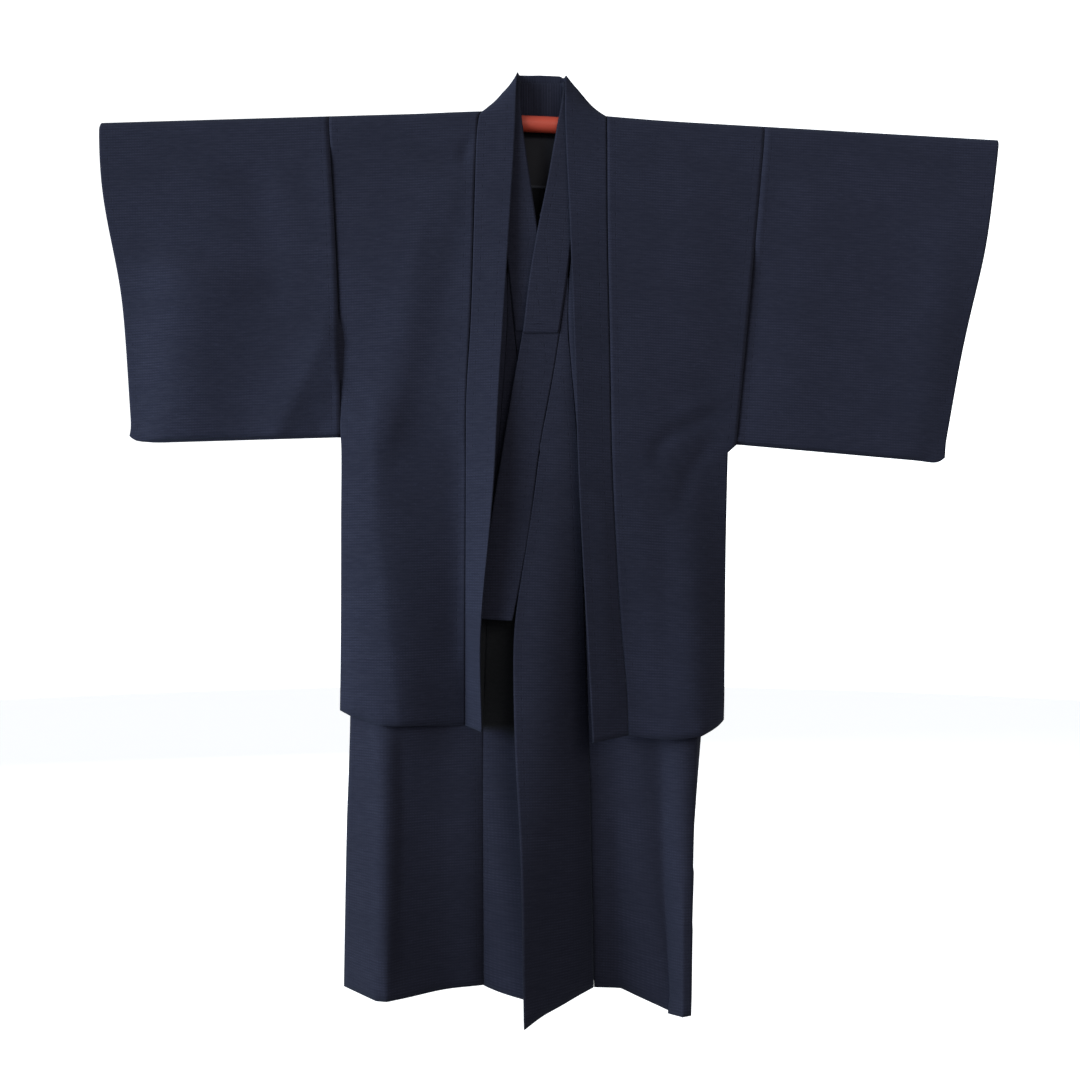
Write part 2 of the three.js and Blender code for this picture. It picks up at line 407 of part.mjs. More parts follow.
function solid(name, material, faces) {
  const volume = faces.reduce((sum, [a, b, c]) => sum + a.dot(b.clone().cross(c)), 0);
  const outward = volume < 0 ? faces.map(([a, b, c]) => [a, c, b]) : faces;
  const geometry = new THREE.BufferGeometry();
  const places = outward.flat().flatMap((point) => point.toArray());
  geometry.setAttribute('position', new THREE.Float32BufferAttribute(places, 3));
  geometry.computeVertexNormals();
  const mesh = new THREE.Mesh(geometry, material);
  mesh.name = name;
  return mesh;
}

// ---- Body halves: one cloth from the front hem, over the rod, to the back hem ----

// The armhole seam runs straight between the rows that a body and its sleeve share.
function armOut(armLine, drop) {
  const capped = THREE.MathUtils.clamp(drop, 0, ARMPIT);
  const next = Math.max(1, ARM_DROPS.findIndex((value) => value >= capped));
  const outs = [next - 1, next].map((n) => read(armLine, 'drop', ARM_DROPS[n], 'out'));
  return mix(...outs, (capped - ARM_DROPS[next - 1]) / (ARM_DROPS[next] - ARM_DROPS[next - 1]));
}

function foldAt(panel, fold, drop, column, shoulder) {
  const values = fold[column].map((value) => (value === null ? shoulder : value));
  return steadyCurve(panel.levels, values, drop);
}

// How far down each row of a panel lies: the shared rows, then even ones down to that fold's hem.
function rowDrops(hem, rowsBelow) {
  return [...ARM_DROPS, BELOW_ARMPIT, ...steps(ARMPIT, hem, rowsBelow).slice(1)];
}

function bodyHalf({ name, material, side, front, back, armLine, sideLine, seam, radius, rowsBelow }) {
  const inner = back.folds.length - front.folds.length - 1;       // columns that only the back has
  const sideOut = (drop, row) => (row < ARM_DROPS.length
    ? armOut(armLine, drop)
    : read(sideLine, 'drop', drop, 'out')) - SEAM_HALF;
  const rowCount = rowDrops(seam.hem, rowsBelow).length;

  const onFront = (row) => {
    const seamDrop = rowDrops(seam.hem, rowsBelow)[row];
    const at = seam.at(seamDrop);
    const seamPoint = place(side, at.out + SEAM_HALF, at.fwd, -seamDrop);
    const points = Array.from({ length: inner + 1 }, () => seamPoint.clone());
    front.folds.forEach((fold, n) => {
      const drop = rowDrops(fold.hem, rowsBelow)[row];
      const last = n === front.folds.length - 1;
      const out = last ? sideOut(drop, row) : foldAt(front, fold, drop, 'outs');
      points.push(place(side, out, foldAt(front, fold, drop, 'fwds', radius(fold.outs[0])), -drop));
    });
    return points;
  };
  const overRod = (angle) => {
    const turn = THREE.MathUtils.degToRad(angle);
    return back.folds.map((fold, n) => {
      const reach = radius(fold.outs[0]);
      const up = reach * Math.sin(turn);
      const last = n === back.folds.length - 1;
      const onSeam = n === inner && angle > 90 ? seam.at(-up).out : fold.outs[0];
      const out = last ? sideOut(0, 0) : onSeam + (n === inner ? SEAM_HALF : 0);
      return place(side, out, -reach * Math.cos(turn), up);
    });
  };
  const onBack = (row) => back.folds.map((fold, n) => {
    const drop = rowDrops(fold.hem, rowsBelow)[row];
    const last = n === back.folds.length - 1;
    const out = last ? sideOut(drop, row) : foldAt(back, fold, drop, 'outs');
    return place(side, out, foldAt(back, fold, drop, 'fwds', -radius(fold.outs[0])), -drop);
  });

  const rows = steps(0, rowCount - 1, rowCount - 1);
  const fronts = [...rows].reverse().map(onFront);
  const shoulders = SHOULDER_ANGLES.map(overRod);
  const firstBackRow = fronts.length + SHOULDER_ANGLES.indexOf(NECK_ANGLE);
  return wall(name, material, [...fronts, ...shoulders, ...rows.map(onBack)], CLOTH, {
    kept: (i, j) => j >= inner || i >= firstBackRow,
  });
}

// The body's inner edge in front: beside the collar, and on a kimono beside the overlap panel below it.
function seamOf(collarRows, overlapSeam, hem) {
  return {
    hem,
    at: (drop) => {
      if (overlapSeam && drop >= OVERLAP_TOP_DROP) {
        return { out: read(overlapSeam, 'drop', drop, 'out'), fwd: read(overlapSeam, 'drop', drop, 'fwd') };
      }
      return collarSeamAt(collarRows, drop);
    },
  };
}

function collarSeamAt(collarRows, drop) {
  const frontRows = collarRows.filter((row) => row.seamFwd > -0.01);
  return {
    out: read(frontRows, 'seamUp', -drop, 'seamOut'),
    fwd: read(frontRows, 'seamUp', -drop, 'seamFwd'),
  };
}

// ---- Overlap panels, from the seam (first column) to the collar and the free edge (last column) ----

function overlapPanel({ name, side, seamRows, edgeRows, collarRows, bulges, hems }) {
  const collarEnd = edgeRows[0].drop;
  const columns = hems.map((hem) => rowDrops(hem, KIMONO_ROWS).filter((drop) => drop >= OVERLAP_TOP_DROP));
  const rows = columns[0].map((_, i) => columns.map((drops, j) => {
    const drop = drops[i];
    const t = j / (columns.length - 1);
    const free = drop > collarEnd;
    const edge = free
      ? { out: read(edgeRows, 'drop', drop, 'out'), fwd: read(edgeRows, 'drop', drop, 'fwd') }
      : collarSeamAt(collarRows, drop);
    const from = read(seamRows, 'drop', drop, 'out') - SEAM_HALF;
    const to = edge.out + (free ? 0 : SEAM_HALF);
    const straight = mix(read(seamRows, 'drop', drop, 'fwd'), edge.fwd, t);
    const bulge = read(bulges, 'drop', drop, 'bulge') * Math.sin(Math.PI * t);
    return place(side, mix(from, to, t), straight + bulge, -drop);
  }));
  return wall(name, kimonoCloth, rows, CLOTH);
}

// ---- Collars: a band from the left end, round the back of the neck, to the right end ----

function bandSections(rows, side, fromRun) {
  const runs = rows.map((row) => row.run).filter((run) => run > fromRun);
  const all = [fromRun];
  for (const run of runs) {
    const parts = Math.ceil((run - all[all.length - 1]) / COLLAR_RUN_STEP);
    all.push(...steps(all[all.length - 1], run, parts).slice(1));
  }
  return all.map((run) => {
    const value = (column) => read(rows, 'run', run, column);
    const seam = place(side, value('seamOut'), value('seamFwd'), value('seamUp'));
    const edge = new THREE.Vector3(side * value('edgeOut'), -value('edgeFwd'), value('edgeUp'));
    return { seam, edge, hollow: value('hollow') };
  });
}

function collarBand({ name, leftRows, rightRows, thick, fromRun = 0, lift = 0, seamInset = COLLAR_INSET, edgeInset = 0 }) {
  const left = bandSections(leftRows, LEFT, fromRun);
  const right = bandSections(rightRows, RIGHT, fromRun).reverse().slice(1);
  const grid = [...left, ...right].map(({ seam, edge, hollow }) => {
    const across = edge.clone().sub(seam);
    const width = across.length();
    const side = Math.sign(seam.x) || 1;
    return steps(seamInset / width, 1 - edgeInset / width, 3).map((t) => {
      const dip = hollow * Math.sin(Math.PI * t) * Math.SQRT1_2;
      return seam.clone().addScaledVector(across, t).add(new THREE.Vector3(-side * dip, 0, -dip));
    });
  });
  return wall(name, name.startsWith('haori') ? haoriCloth : kimonoCloth, grid, thick, { lift });
}

// ---- Sleeves: a flat bag over the rod, open at the body and in the upper part of the cuff ----

function sleeve({ name, material, side, spec, armLine, garment, radius, cuffInset, bottomInset }) {
  const grid = SLEEVE_STATIONS.map((t) => {
    const corner = t === 1 ? CUFF_CORNER : 0;
    const bottom = mix(spec.bottomAtBody, spec.bottomAtCuff, t) - bottomInset - corner;
    const half = (drop) => {
      const open = read(SLEEVE_DEPTHS, 'drop', drop, garment);
      const shut = THREE.MathUtils.smoothstep(drop, CUFF_PINCH.open, CUFF_PINCH.shut)
        * THREE.MathUtils.smoothstep(t, CUFF_PINCH.from, 1);
      return mix(open, CUFF_PINCH.half, shut);
    };
    const point = (fwd, up) => {
      const body = armOut(armLine, -up) + SEAM_HALF;
      const cuff = read(spec.cuff, 'drop', -up, 'out') - cuffInset;
      return place(side, mix(body, cuff, t), fwd, up);
    };
    const over = [157.5, 135, 112.5, 90, 67.5, 45, 22.5].map((angle) => {
      const turn = THREE.MathUtils.degToRad(angle);
      return point(-radius * Math.cos(turn), radius * Math.sin(turn));
    });
    const drops = [...ARM_DROPS.slice(0, -1), bottom - BOTTOM_FOLD];
    const downBack = drops.map((drop) => point(-half(drop), -drop));
    const upFront = drops.map((drop) => point(half(drop), -drop)).reverse();
    return [...over, ...downBack, point(0, -bottom), ...upFront];
  });
  return wall(name, material, grid, CLOTH, { closed: true });
}

// ---- Gussets between the haori's front and back, below the armpit ----

function gusset({ name, side, sideLine, front, back }) {
  const frontSide = front.folds[front.folds.length - 1];
  const backSide = back.folds[back.folds.length - 1];
  const drops = rowDrops(frontSide.hem, HAORI_ROWS).filter((drop) => drop > GUSSET.top);
  const rows = [GUSSET.top, ...drops].map((drop) => {
    const fore = foldAt(front, frontSide, drop, 'fwds', HAORI_RADIUS) - GUSSET.clear;
    const aft = foldAt(back, backSide, drop, 'fwds', -HAORI_RADIUS) + GUSSET.clear;
    const share = (drop - GUSSET.top) / (frontSide.hem - GUSSET.top);
    const out = read(sideLine, 'drop', drop, 'out') - SEAM_HALF - CLOTH;
    return [0, 0.5, 1].map((t) => {
      const swell = GUSSET.swell * share * Math.sin(Math.PI * t);
      return place(side, out + swell, mix(fore, aft, t), -drop);
    });
  });
  return wall(name, haoriCloth, rows, CLOTH);
}

// ---- The lining over the inside of the shoulders, and the rod ----

function shoulderLining() {
  const columns = steps(-LINING.out, LINING.out, LINING.columns);
  const rows = steps(LINING.top, LINING.bottom, LINING.rows).map((drop) => columns.map((x) => {
    const reach = steadyCurve([0, 480], [KIMONO_RADIUS, 12], drop) - CLOTH / 2 - SEAM_HALF - LINING_WALL / 2;
    return new THREE.Vector3(x, reach, rodHeight(x) - drop);
  }));
  return wall('kimono_shoulder_lining', liningCloth, rows, LINING_WALL);
}

function rod() {
  const rings = steps(ROD.leftEnd, ROD.rightEnd, ROD.steps).map((x) => (
    steps(0, 360, ROD.sides).slice(1).map((angle) => {
      const turn = THREE.MathUtils.degToRad(angle);
      return new THREE.Vector3(x, ROD.radius * Math.cos(turn), rodHeight(x) + ROD.radius * Math.sin(turn));
    })
  ));
  const faces = [];
  for (let i = 0; i + 1 < rings.length; i += 1) {
    rings[i].forEach((corner, j) => {
      const next = (j + 1) % ROD.sides;
      faces.push([corner, rings[i][next], rings[i + 1][next]], [corner, rings[i + 1][next], rings[i + 1][j]]);
    });
  }
  for (const [ring, flip] of [[rings[0], false], [rings[rings.length - 1], true]]) {
    for (let j = 1; j + 1 < ROD.sides; j += 1) {
      faces.push(flip ? [ring[0], ring[j], ring[j + 1]] : [ring[0], ring[j + 1], ring[j]]);
    }
  }
  return solid('hanger_rod', lacquer, faces);
}

// ---- The set ----

const SIDES = [
  {
    word: 'left', side: LEFT, armLine: HAORI_ARM_LEFT, haoriSide: HAORI_SIDE_LEFT, kimonoSide: KIMONO_SIDE_LEFT,
    haoriFront: HAORI_FRONT_LEFT, kimonoFront: KIMONO_FRONT_LEFT,
    haoriCollar: HAORI_COLLAR_LEFT, kimonoCollar: KIMONO_COLLAR_LEFT, haoriHemAtCollar: 930,
    sleeveSpec: HAORI_SLEEVE_LEFT, overlapSeam: KIMONO_OVERLAP_SEAM_LEFT,
    overlapEdge: KIMONO_OVERLAP_EDGE_LEFT, bulges: OVERLAP_BULGE_LEFT, overlapHems: OVERLAP_LEFT_HEMS,
  },
  {
    word: 'right', side: RIGHT, armLine: HAORI_ARM_RIGHT, haoriSide: HAORI_SIDE_RIGHT, kimonoSide: KIMONO_SIDE_RIGHT,
    haoriFront: HAORI_FRONT_RIGHT, kimonoFront: KIMONO_FRONT_RIGHT,
    haoriCollar: HAORI_COLLAR_RIGHT, kimonoCollar: KIMONO_COLLAR_RIGHT, haoriHemAtCollar: 932,
    sleeveSpec: HAORI_SLEEVE_RIGHT, overlapSeam: KIMONO_OVERLAP_SEAM_RIGHT,
    overlapEdge: KIMONO_OVERLAP_EDGE_RIGHT, bulges: OVERLAP_BULGE_RIGHT, overlapHems: OVERLAP_RIGHT_HEMS,
  },
];

const set = new THREE.Group();
set.add(rod());
for (const half of SIDES) {
  const { word, side } = half;
  const kimonoArm = half.armLine.map(({ drop, out }) => ({ drop, out: out - ARM_STEP_IN }));
  set.add(bodyHalf({
    name: `haori_body_${word}`, material: haoriCloth, side, front: half.haoriFront, back: HAORI_BACK[word],
    armLine: half.armLine, sideLine: half.haoriSide, seam: seamOf(half.haoriCollar, null, half.haoriHemAtCollar),
    radius: haoriRadius, rowsBelow: HAORI_ROWS,
  }));
  set.add(bodyHalf({
    name: `kimono_body_${word}`, material: kimonoCloth, side, front: half.kimonoFront, back: KIMONO_BACK[word],
    armLine: kimonoArm, sideLine: half.kimonoSide,
    seam: seamOf(half.kimonoCollar, half.overlapSeam, half.overlapHems[0]),
    radius: () => KIMONO_RADIUS, rowsBelow: KIMONO_ROWS,
  }));
  set.add(sleeve({
    name: `haori_sleeve_${word}`, material: haoriCloth, side, spec: half.sleeveSpec, armLine: half.armLine,
    garment: 'haori', radius: HAORI_RADIUS, cuffInset: 0, bottomInset: 0,
  }));
  set.add(sleeve({
    name: `kimono_sleeve_${word}`, material: kimonoCloth, side, spec: half.sleeveSpec, armLine: kimonoArm,
    garment: 'kimono', radius: KIMONO_RADIUS, cuffInset: KIMONO_SLEEVE_INSET, bottomInset: KIMONO_BOTTOM_INSET,
  }));
  set.add(gusset({
    name: `haori_gusset_${word}`, side, sideLine: half.haoriSide, front: half.haoriFront, back: HAORI_BACK[word],
  }));
  set.add(overlapPanel({
    name: `kimono_overlap_${word}`, side, seamRows: half.overlapSeam, edgeRows: half.overlapEdge,
    collarRows: half.kimonoCollar, bulges: half.bulges, hems: half.overlapHems,
  }));
}
set.add(collarBand({
  name: 'haori_collar', leftRows: HAORI_COLLAR_LEFT, rightRows: HAORI_COLLAR_RIGHT, thick: CLOTH,
}));
set.add(collarBand({
  name: 'kimono_collar', leftRows: KIMONO_COLLAR_LEFT, rightRows: KIMONO_COLLAR_RIGHT, thick: CLOTH,
}));
set.add(collarBand({
  name: 'kimono_over_collar', leftRows: KIMONO_COLLAR_LEFT, rightRows: KIMONO_COLLAR_RIGHT,
  thick: OVER_COLLAR_WALL, fromRun: OVER_COLLAR_FROM_RUN, seamInset: 2.5, edgeInset: 0.6,
  lift: -(CLOTH + OVER_COLLAR_WALL) / 2 - SEAM_HALF,
}));
set.add(shoulderLining());

export default set;
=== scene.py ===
"""A navy haori over its kimono, hung by the sleeves on a lacquered rod."""

import math

import bmesh
import bpy
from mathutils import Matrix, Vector, kdtree, noise


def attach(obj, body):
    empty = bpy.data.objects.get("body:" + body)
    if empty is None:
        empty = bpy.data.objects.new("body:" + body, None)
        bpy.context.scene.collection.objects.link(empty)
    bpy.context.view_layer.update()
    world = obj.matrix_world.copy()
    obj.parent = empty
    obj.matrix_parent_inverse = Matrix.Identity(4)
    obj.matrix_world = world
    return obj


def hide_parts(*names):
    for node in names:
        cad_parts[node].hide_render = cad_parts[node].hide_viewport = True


MM = 0.001

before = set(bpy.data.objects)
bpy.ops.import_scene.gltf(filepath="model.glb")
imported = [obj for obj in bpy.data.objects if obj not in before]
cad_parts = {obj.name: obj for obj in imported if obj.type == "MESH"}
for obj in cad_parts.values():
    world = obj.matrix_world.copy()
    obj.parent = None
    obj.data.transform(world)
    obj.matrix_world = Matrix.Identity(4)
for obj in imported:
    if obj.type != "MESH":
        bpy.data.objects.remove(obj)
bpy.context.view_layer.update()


# ---------------------------------------------------------------- finishes

class Amount:
    """A number socket of a finish. Python's operators add Math nodes to it."""

    def __init__(self, finish, socket):
        self.finish = finish
        self.socket = socket

    def _with(self, operation, first, second):
        made = self.finish.node("ShaderNodeMath", {0: first, 1: second}, operation=operation)
        return Amount(self.finish, made.outputs[0])

    def __add__(self, other):
        return self._with("ADD", self, other)

    def __radd__(self, other):
        return self._with("ADD", other, self)

    def __sub__(self, other):
        return self._with("SUBTRACT", self, other)

    def __rsub__(self, other):
        return self._with("SUBTRACT", other, self)

    def __mul__(self, other):
        return self._with("MULTIPLY", self, other)

    def __rmul__(self, other):
        return self._with("MULTIPLY", other, self)

    def wave(self, length):
        """A sine wave that comes back after this length."""
        return self._with("SINE", self * (2 * math.pi / length), 0.0)

    def between(self, low, high):
        """0 below low, 1 above high, and smooth in between; low may be the larger one."""
        made = self.finish.node(
            "ShaderNodeMapRange", {"Value": self, "From Min": low, "From Max": high},
            interpolation_type="SMOOTHSTEP",
        )
        return Amount(self.finish, made.outputs["Result"])


class Finish:
    """A material and the nodes that it is made of."""

    def __init__(self, name):
        self.material = bpy.data.materials.new(name)
        self.material.use_nodes = True
        self.tree = self.material.node_tree
        self.surface = self.tree.nodes["Principled BSDF"]

    def node(self, kind, sockets, **settings):
        made = self.tree.nodes.new(kind)
        for name, value in settings.items():
            setattr(made, name, value)
        for name, value in sockets.items():
            self.plug(value, made.inputs[name])
        return made

    def plug(self, value, socket):
        if isinstance(value, Amount):
            value = value.socket
        if isinstance(value, bpy.types.NodeSocket):
            self.tree.links.new(value, socket)
        else:
            socket.default_value = value

    def set(self, **values):
        for name, value in values.items():
            self.plug(value, self.surface.inputs[name.replace("_", " ")])

    def blend(self, share, first, second, how="MIX"):
        """A colour between two colours, by share."""
        made = self.node("ShaderNodeMix", {0: share, 6: first, 7: second}, data_type="RGBA", blend_type=how)
        return made.outputs[2]

    def grain(self, place, scale, detail=2.0):
        """Noise, with a scale of its own along each direction of the place."""
        stretched = self.node("ShaderNodeVectorMath", {0: place, 1: scale}, operation="MULTIPLY")
        made = self.node(
            "ShaderNodeTexNoise", {"Vector": stretched.outputs[0], "Scale": 1.0, "Detail": detail}
        )
        return Amount(self, made.outputs["Fac"])

    def attribute(self, name):
        return self.node("ShaderNodeAttribute", {}, attribute_name=name)

    def stored(self, name):
        """A number that is stored on the mesh."""
        return Amount(self, self.attribute(name).outputs["Fac"])

    def across_and_down(self, place):
        """The first two coordinates of a place."""
        made = self.node("ShaderNodeSeparateXYZ", {0: place})
        return Amount(self, made.outputs[0]), Amount(self, made.outputs[1])

    def grey(self, amount):
        made = self.node("ShaderNodeCombineColor", {0: amount, 1: amount, 2: amount})
        return made.outputs[0]


# Sizes in the cloth, in metres: from rib to rib, from thread to thread and from stitch to stitch, how far
# from an edge the hem is stitched, and how far in from an edge it shows thick and is shaded.
RIB = 0.0041
WARP_THREAD, WEFT_THREAD = 0.0011, 0.0009
STITCH, HEM_STITCH = 0.016, 0.0125
TURNED_EDGE, SHADED_EDGE = 0.0016, 0.0003
# The near-black tone of the painted shadow on the inner front, where the haori's left front shades it.
SHADOW_TONE = (0.0152, 0.0168, 0.0196, 1.0)


def ribbed_cloth(name, deep, ground, fleck):
    """Plain weave with a thicker weft thread every few millimetres: fine ribs across the cloth, broken into
    short dashes by the warp, a few paler flecks, and small blind stitches along the turned edges."""
    cloth = Finish(name)
    weave = cloth.attribute("weave").outputs["Vector"]
    across, down = cloth.across_and_down(weave)
    from_edge, along_edge = cloth.stored("from_edge"), cloth.stored("along_edge")

    drift = cloth.grain(weave, (16.0, 9.0, 1.0))
    rib = (down + 0.003 * drift).wave(RIB)
    dash = (across + 0.004 * drift).wave(RIB)
    slub = cloth.grain(weave, (60.0, 250.0, 1.0)).between(0.32, 0.7)
    patch = cloth.grain(weave, (13.0, 19.0, 1.0)).between(0.36, 0.62)
    tick = cloth.grain(weave, (150.0, 380.0, 1.0), 1.0).between(0.62, 0.78)
    cloud = cloth.grain(weave, (5.0, 4.0, 1.0), 3.0)
    threads = across.wave(WARP_THREAD) * down.wave(WEFT_THREAD)
    turned_edge = from_edge.between(0.0, TURNED_EDGE)
    hem_line = (
        from_edge.between(HEM_STITCH - 0.0013, HEM_STITCH - 0.0003)
        * from_edge.between(HEM_STITCH + 0.0013, HEM_STITCH + 0.0003)
    )
    stitch = along_edge.wave(STITCH).between(0.55, 0.8) * hem_line

    pale = rib.between(-0.2, 1.0) * (0.4 + 0.6 * dash.between(-0.6, 0.8)) * (0.35 + 0.65 * patch)
    colour = cloth.blend(0.82 * pale + 0.16 * slub, deep, ground)
    colour = cloth.blend(tick * 0.14, colour, fleck)
    shade = 0.86 + 0.28 * cloud + 0.05 * threads - 0.16 * stitch
    # Painted shade: darker within a fraction of a millimetre of every edge and on the rims of the wall.
    rim = 0.5 + 0.5 * from_edge.between(0.0, SHADED_EDGE)
    colour = cloth.blend(1.0, colour, cloth.grey(shade * rim), "MULTIPLY")
    # Painted shadow: the inner front turns near-black where the haori's left front shades it.
    colour = cloth.blend(cloth.stored("painted_shadow"), colour, SHADOW_TONE)
    height = 0.3 * rib + 0.3 * threads + 0.12 * slub + 0.1 * tick
    height = height + 0.1 * turned_edge - 1.2 * stitch - 0.3 * hem_line
    bump = cloth.node("ShaderNodeBump", {"Strength": 0.5, "Distance": 0.0004, "Height": height})
    cloth.set(Base_Color=colour, Roughness=0.92 - 0.1 * slub, Normal=bump.outputs[0])
    cloth.set(Sheen_Weight=0.05, Sheen_Roughness=0.5, Sheen_Tint=(0.6, 0.75, 1.0, 1.0))
    cloth.set(Specular_IOR_Level=0.15)
    return cloth.material


# Each piece takes its weave from a place of its own: by its shift across, and by this share of it down.
SHIFT_DOWN = 0.37
LINING_SHIFT = 18.2
LINING_HEM = LINING_SHIFT * SHIFT_DOWN - 0.104


def lining_cloth():
    """Smooth dark lining, with its lower hem showing a little paler."""
    cloth = Finish("lining_cloth")
    weave = cloth.attribute("weave").outputs["Vector"]
    _, height = cloth.across_and_down(weave)
    threads = cloth.grain(weave, (240.0, 900.0, 1.0), 1.0)
    cloud = cloth.grain(weave, (11.0, 9.0, 1.0))
    hem = cloth.stored("from_edge").between(0.0045, 0.0035)
    hem = hem * height.between(LINING_HEM + 0.03, LINING_HEM + 0.02)
    colour = cloth.blend(hem, (0.0042, 0.0052, 0.0106, 1.0), (0.03, 0.035, 0.05, 1.0))
    colour = cloth.blend(1.0, colour, cloth.grey(0.8 + 0.4 * cloud), "MULTIPLY")
    bump = cloth.node("ShaderNodeBump", {"Strength": 0.4, "Distance": 0.0003, "Height": threads + hem})
    cloth.set(Base_Color=colour, Roughness=0.7 + 0.15 * cloud, Normal=bump.outputs[0])
    return cloth.material


def rod_lacquer():
    """Red lacquer over wood: even, a little cloudy, and faintly brushed along its length."""
    lacquer = Finish("rod_lacquer")
    place = lacquer.node("ShaderNodeTexCoord", {}).outputs["Object"]
    brushed = lacquer.grain(place, (9.0, 260.0, 260.0), 3.0)
    cloud = lacquer.grain(place, (14.0, 40.0, 40.0))
    colour = lacquer.blend(cloud, (0.41, 0.042, 0.02, 1.0), (0.53, 0.066, 0.032, 1.0))
    bump = lacquer.node("ShaderNodeBump", {"Strength": 0.25, "Distance": 0.0004, "Height": brushed})
    lacquer.set(Base_Color=colour, Roughness=0.38 + 0.2 * brushed, Normal=bump.outputs[0])
    lacquer.set(Coat_Weight=0.2, Coat_Roughness=0.3)
    return lacquer.material


def pale_paint(name, tone, glow):
    """Grey paint that glows by itself, so that it looks even."""
    paint = Finish(name)
    place = paint.node("ShaderNodeTexCoord", {}).outputs["Object"]
    speck = paint.grain(place, (30.0, 30.0, 30.0))
    colour = paint.blend(speck, (tone, tone, tone, 1.0), (0.98 * tone, 0.98 * tone, 0.98 * tone, 1.0))
    paint.set(Base_Color=colour, Roughness=0.8, Emission_Color=colour, Emission_Strength=glow)
    return paint.material


HAORI_CLOTH = ribbed_cloth(
    "haori_cloth", (0.0145, 0.0162, 0.0300, 1.0), (0.0246, 0.0268, 0.0495, 1.0), (0.042, 0.05, 0.09, 1.0)
)
KIMONO_CLOTH = ribbed_cloth(
    "kimono_cloth", (0.0141, 0.0154, 0.0282, 1.0), (0.0234, 0.0252, 0.0455, 1.0), (0.039, 0.046, 0.08, 1.0)
)
# A much darker copy of the kimono cloth, for the inner faces of the kimono's pieces.
DARK_INNER_CLOTH = ribbed_cloth(
    "kimono_dark_inner", (0.006, 0.0066, 0.009, 1.0), (0.0078, 0.0086, 0.0115, 1.0), (0.012, 0.013, 0.017, 1.0)
)
LINING_CLOTH = lining_cloth()
ROD_LACQUER = rod_lacquer()


# ---------------------------------------------------------------- listed folds

def eased(share):
    return share * share * (3 - 2 * share)


class Fold:
    """A fold along a line of (x, z) points that runs down one face of the cloth, in millimetres.

    rise is how far it stands out of the cloth, below 0 for a trough, or one such height for each point. left
    and right are how far it fades on either side of the line, and sharp is how much of it comes to an edge.
    It fades over the length ease at both ends, but with open_end 1 it runs out at the hem. down is how much
    lower its lower end hangs."""

    def __init__(self, face, line, rise, left, right, sharp=0.0, ease=60.0, open_end=0.0, down=0.0):
        points = [Vector(point) for point in line]
        rises = rise if isinstance(rise, tuple) else (rise,) * len(line)
        self.face = face
        self.parts = list(zip(points, points[1:], rises, rises[1:]))
        self.length = sum((b - a).length for a, b in zip(points, points[1:]))
        self.left, self.right, self.sharp = left, right, sharp
        self.ease, self.open_end, self.down = ease, open_end, down

    def nearest(self, here):
        """The line's nearest place: its distance, whether here is on its left, its way along, its rise."""
        best = (math.inf,)
        run = 0.0
        for a, b, first, last in self.parts:
            length = (b - a).length
            along = (b - a) / length
            share = max(0.0, min(length, (here - a).dot(along)))
            away = here - (a + along * share)
            if away.length < best[0]:
                # The line runs downwards, so a point on its left in the view lies at a negative turn.
                on_left = along.x * away.y - along.y * away.x < 0
                best = (away.length, on_left, run + share, first + (last - first) * share / length)
            run += length
        return best

    def shift(self, here):
        """How far it moves the cloth at a place: out of the sheet and down."""
        distance, on_left, at, rise = self.nearest(here)
        reach = distance / (self.left if on_left else self.right)
        fade = min(1.0, at / self.ease) * min(1.0, (self.length - at) / self.ease + self.open_end)
        side = (1.0 - self.sharp) * math.exp(-0.5 * reach * reach) + self.sharp * math.exp(-reach)
        weight = eased(fade) * side
        return rise * weight, self.down * weight * (at / self.length) ** 2


SLEEVE_LEFT_FOLDS = [
    Fold("front", [(-327, 0), (-318, -120), (-314, -260), (-309, -480)], rise=4.2, left=20, right=14,
         sharp=0.4, open_end=1.0),
    Fold("front", [(-318, -286), (-334, -336), (-361, -398), (-388, -446), (-414, -500)], rise=10.0,
         left=34, right=26, sharp=0.8, open_end=1.0),
    Fold("front", [(-313, -398), (-323, -425), (-315, -448)], rise=-3.2, left=5, right=5, ease=10),
    Fold("front", [(-312, -452), (-331, -468), (-352, -480)], rise=-3.2, left=5, right=5, ease=10),
    Fold("front", [(-452, -40), (-439, -110), (-415, -230), (-400, -310)], rise=-4.5, left=30, right=24),
    Fold("front", [(-532, -190), (-548, -330), (-556, -520)], rise=15.0, left=46, right=58, open_end=1.0),
    Fold("front", [(-620, -120), (-600, -260), (-585, -460)], rise=-1.6, left=22, right=22),
    Fold("back", [(-340, -300), (-372, -400), (-400, -480)], rise=5.0, left=30, right=20),
    Fold("back", [(-480, -60), (-470, -260), (-500, -460)], rise=3.4, left=34, right=34),
]
SLEEVE_RIGHT_FOLDS = [
    Fold("front", [(332, -10), (326, -160), (320, -300), (310, -480)], rise=2.0, left=12, right=12,
         open_end=1.0),
    Fold("front", [(333, -180), (323, -330), (310, -480)], rise=-4.0, left=8, right=14, open_end=1.0),
    Fold("front", [(420, -60), (408, -240), (388, -470)], rise=2.4, left=26, right=34),
    Fold("front", [(560, -80), (548, -280), (530, -480)], rise=-1.4, left=40, right=40),
    Fold("front", [(640, -120), (622, -280), (590, -500)], rise=1.8, left=24, right=24),
    Fold("back", [(380, -80), (372, -260), (350, -460)], rise=3.4, left=28, right=28),
    Fold("back", [(540, -70), (560, -260), (540, -480)], rise=2.6, left=34, right=34),
]
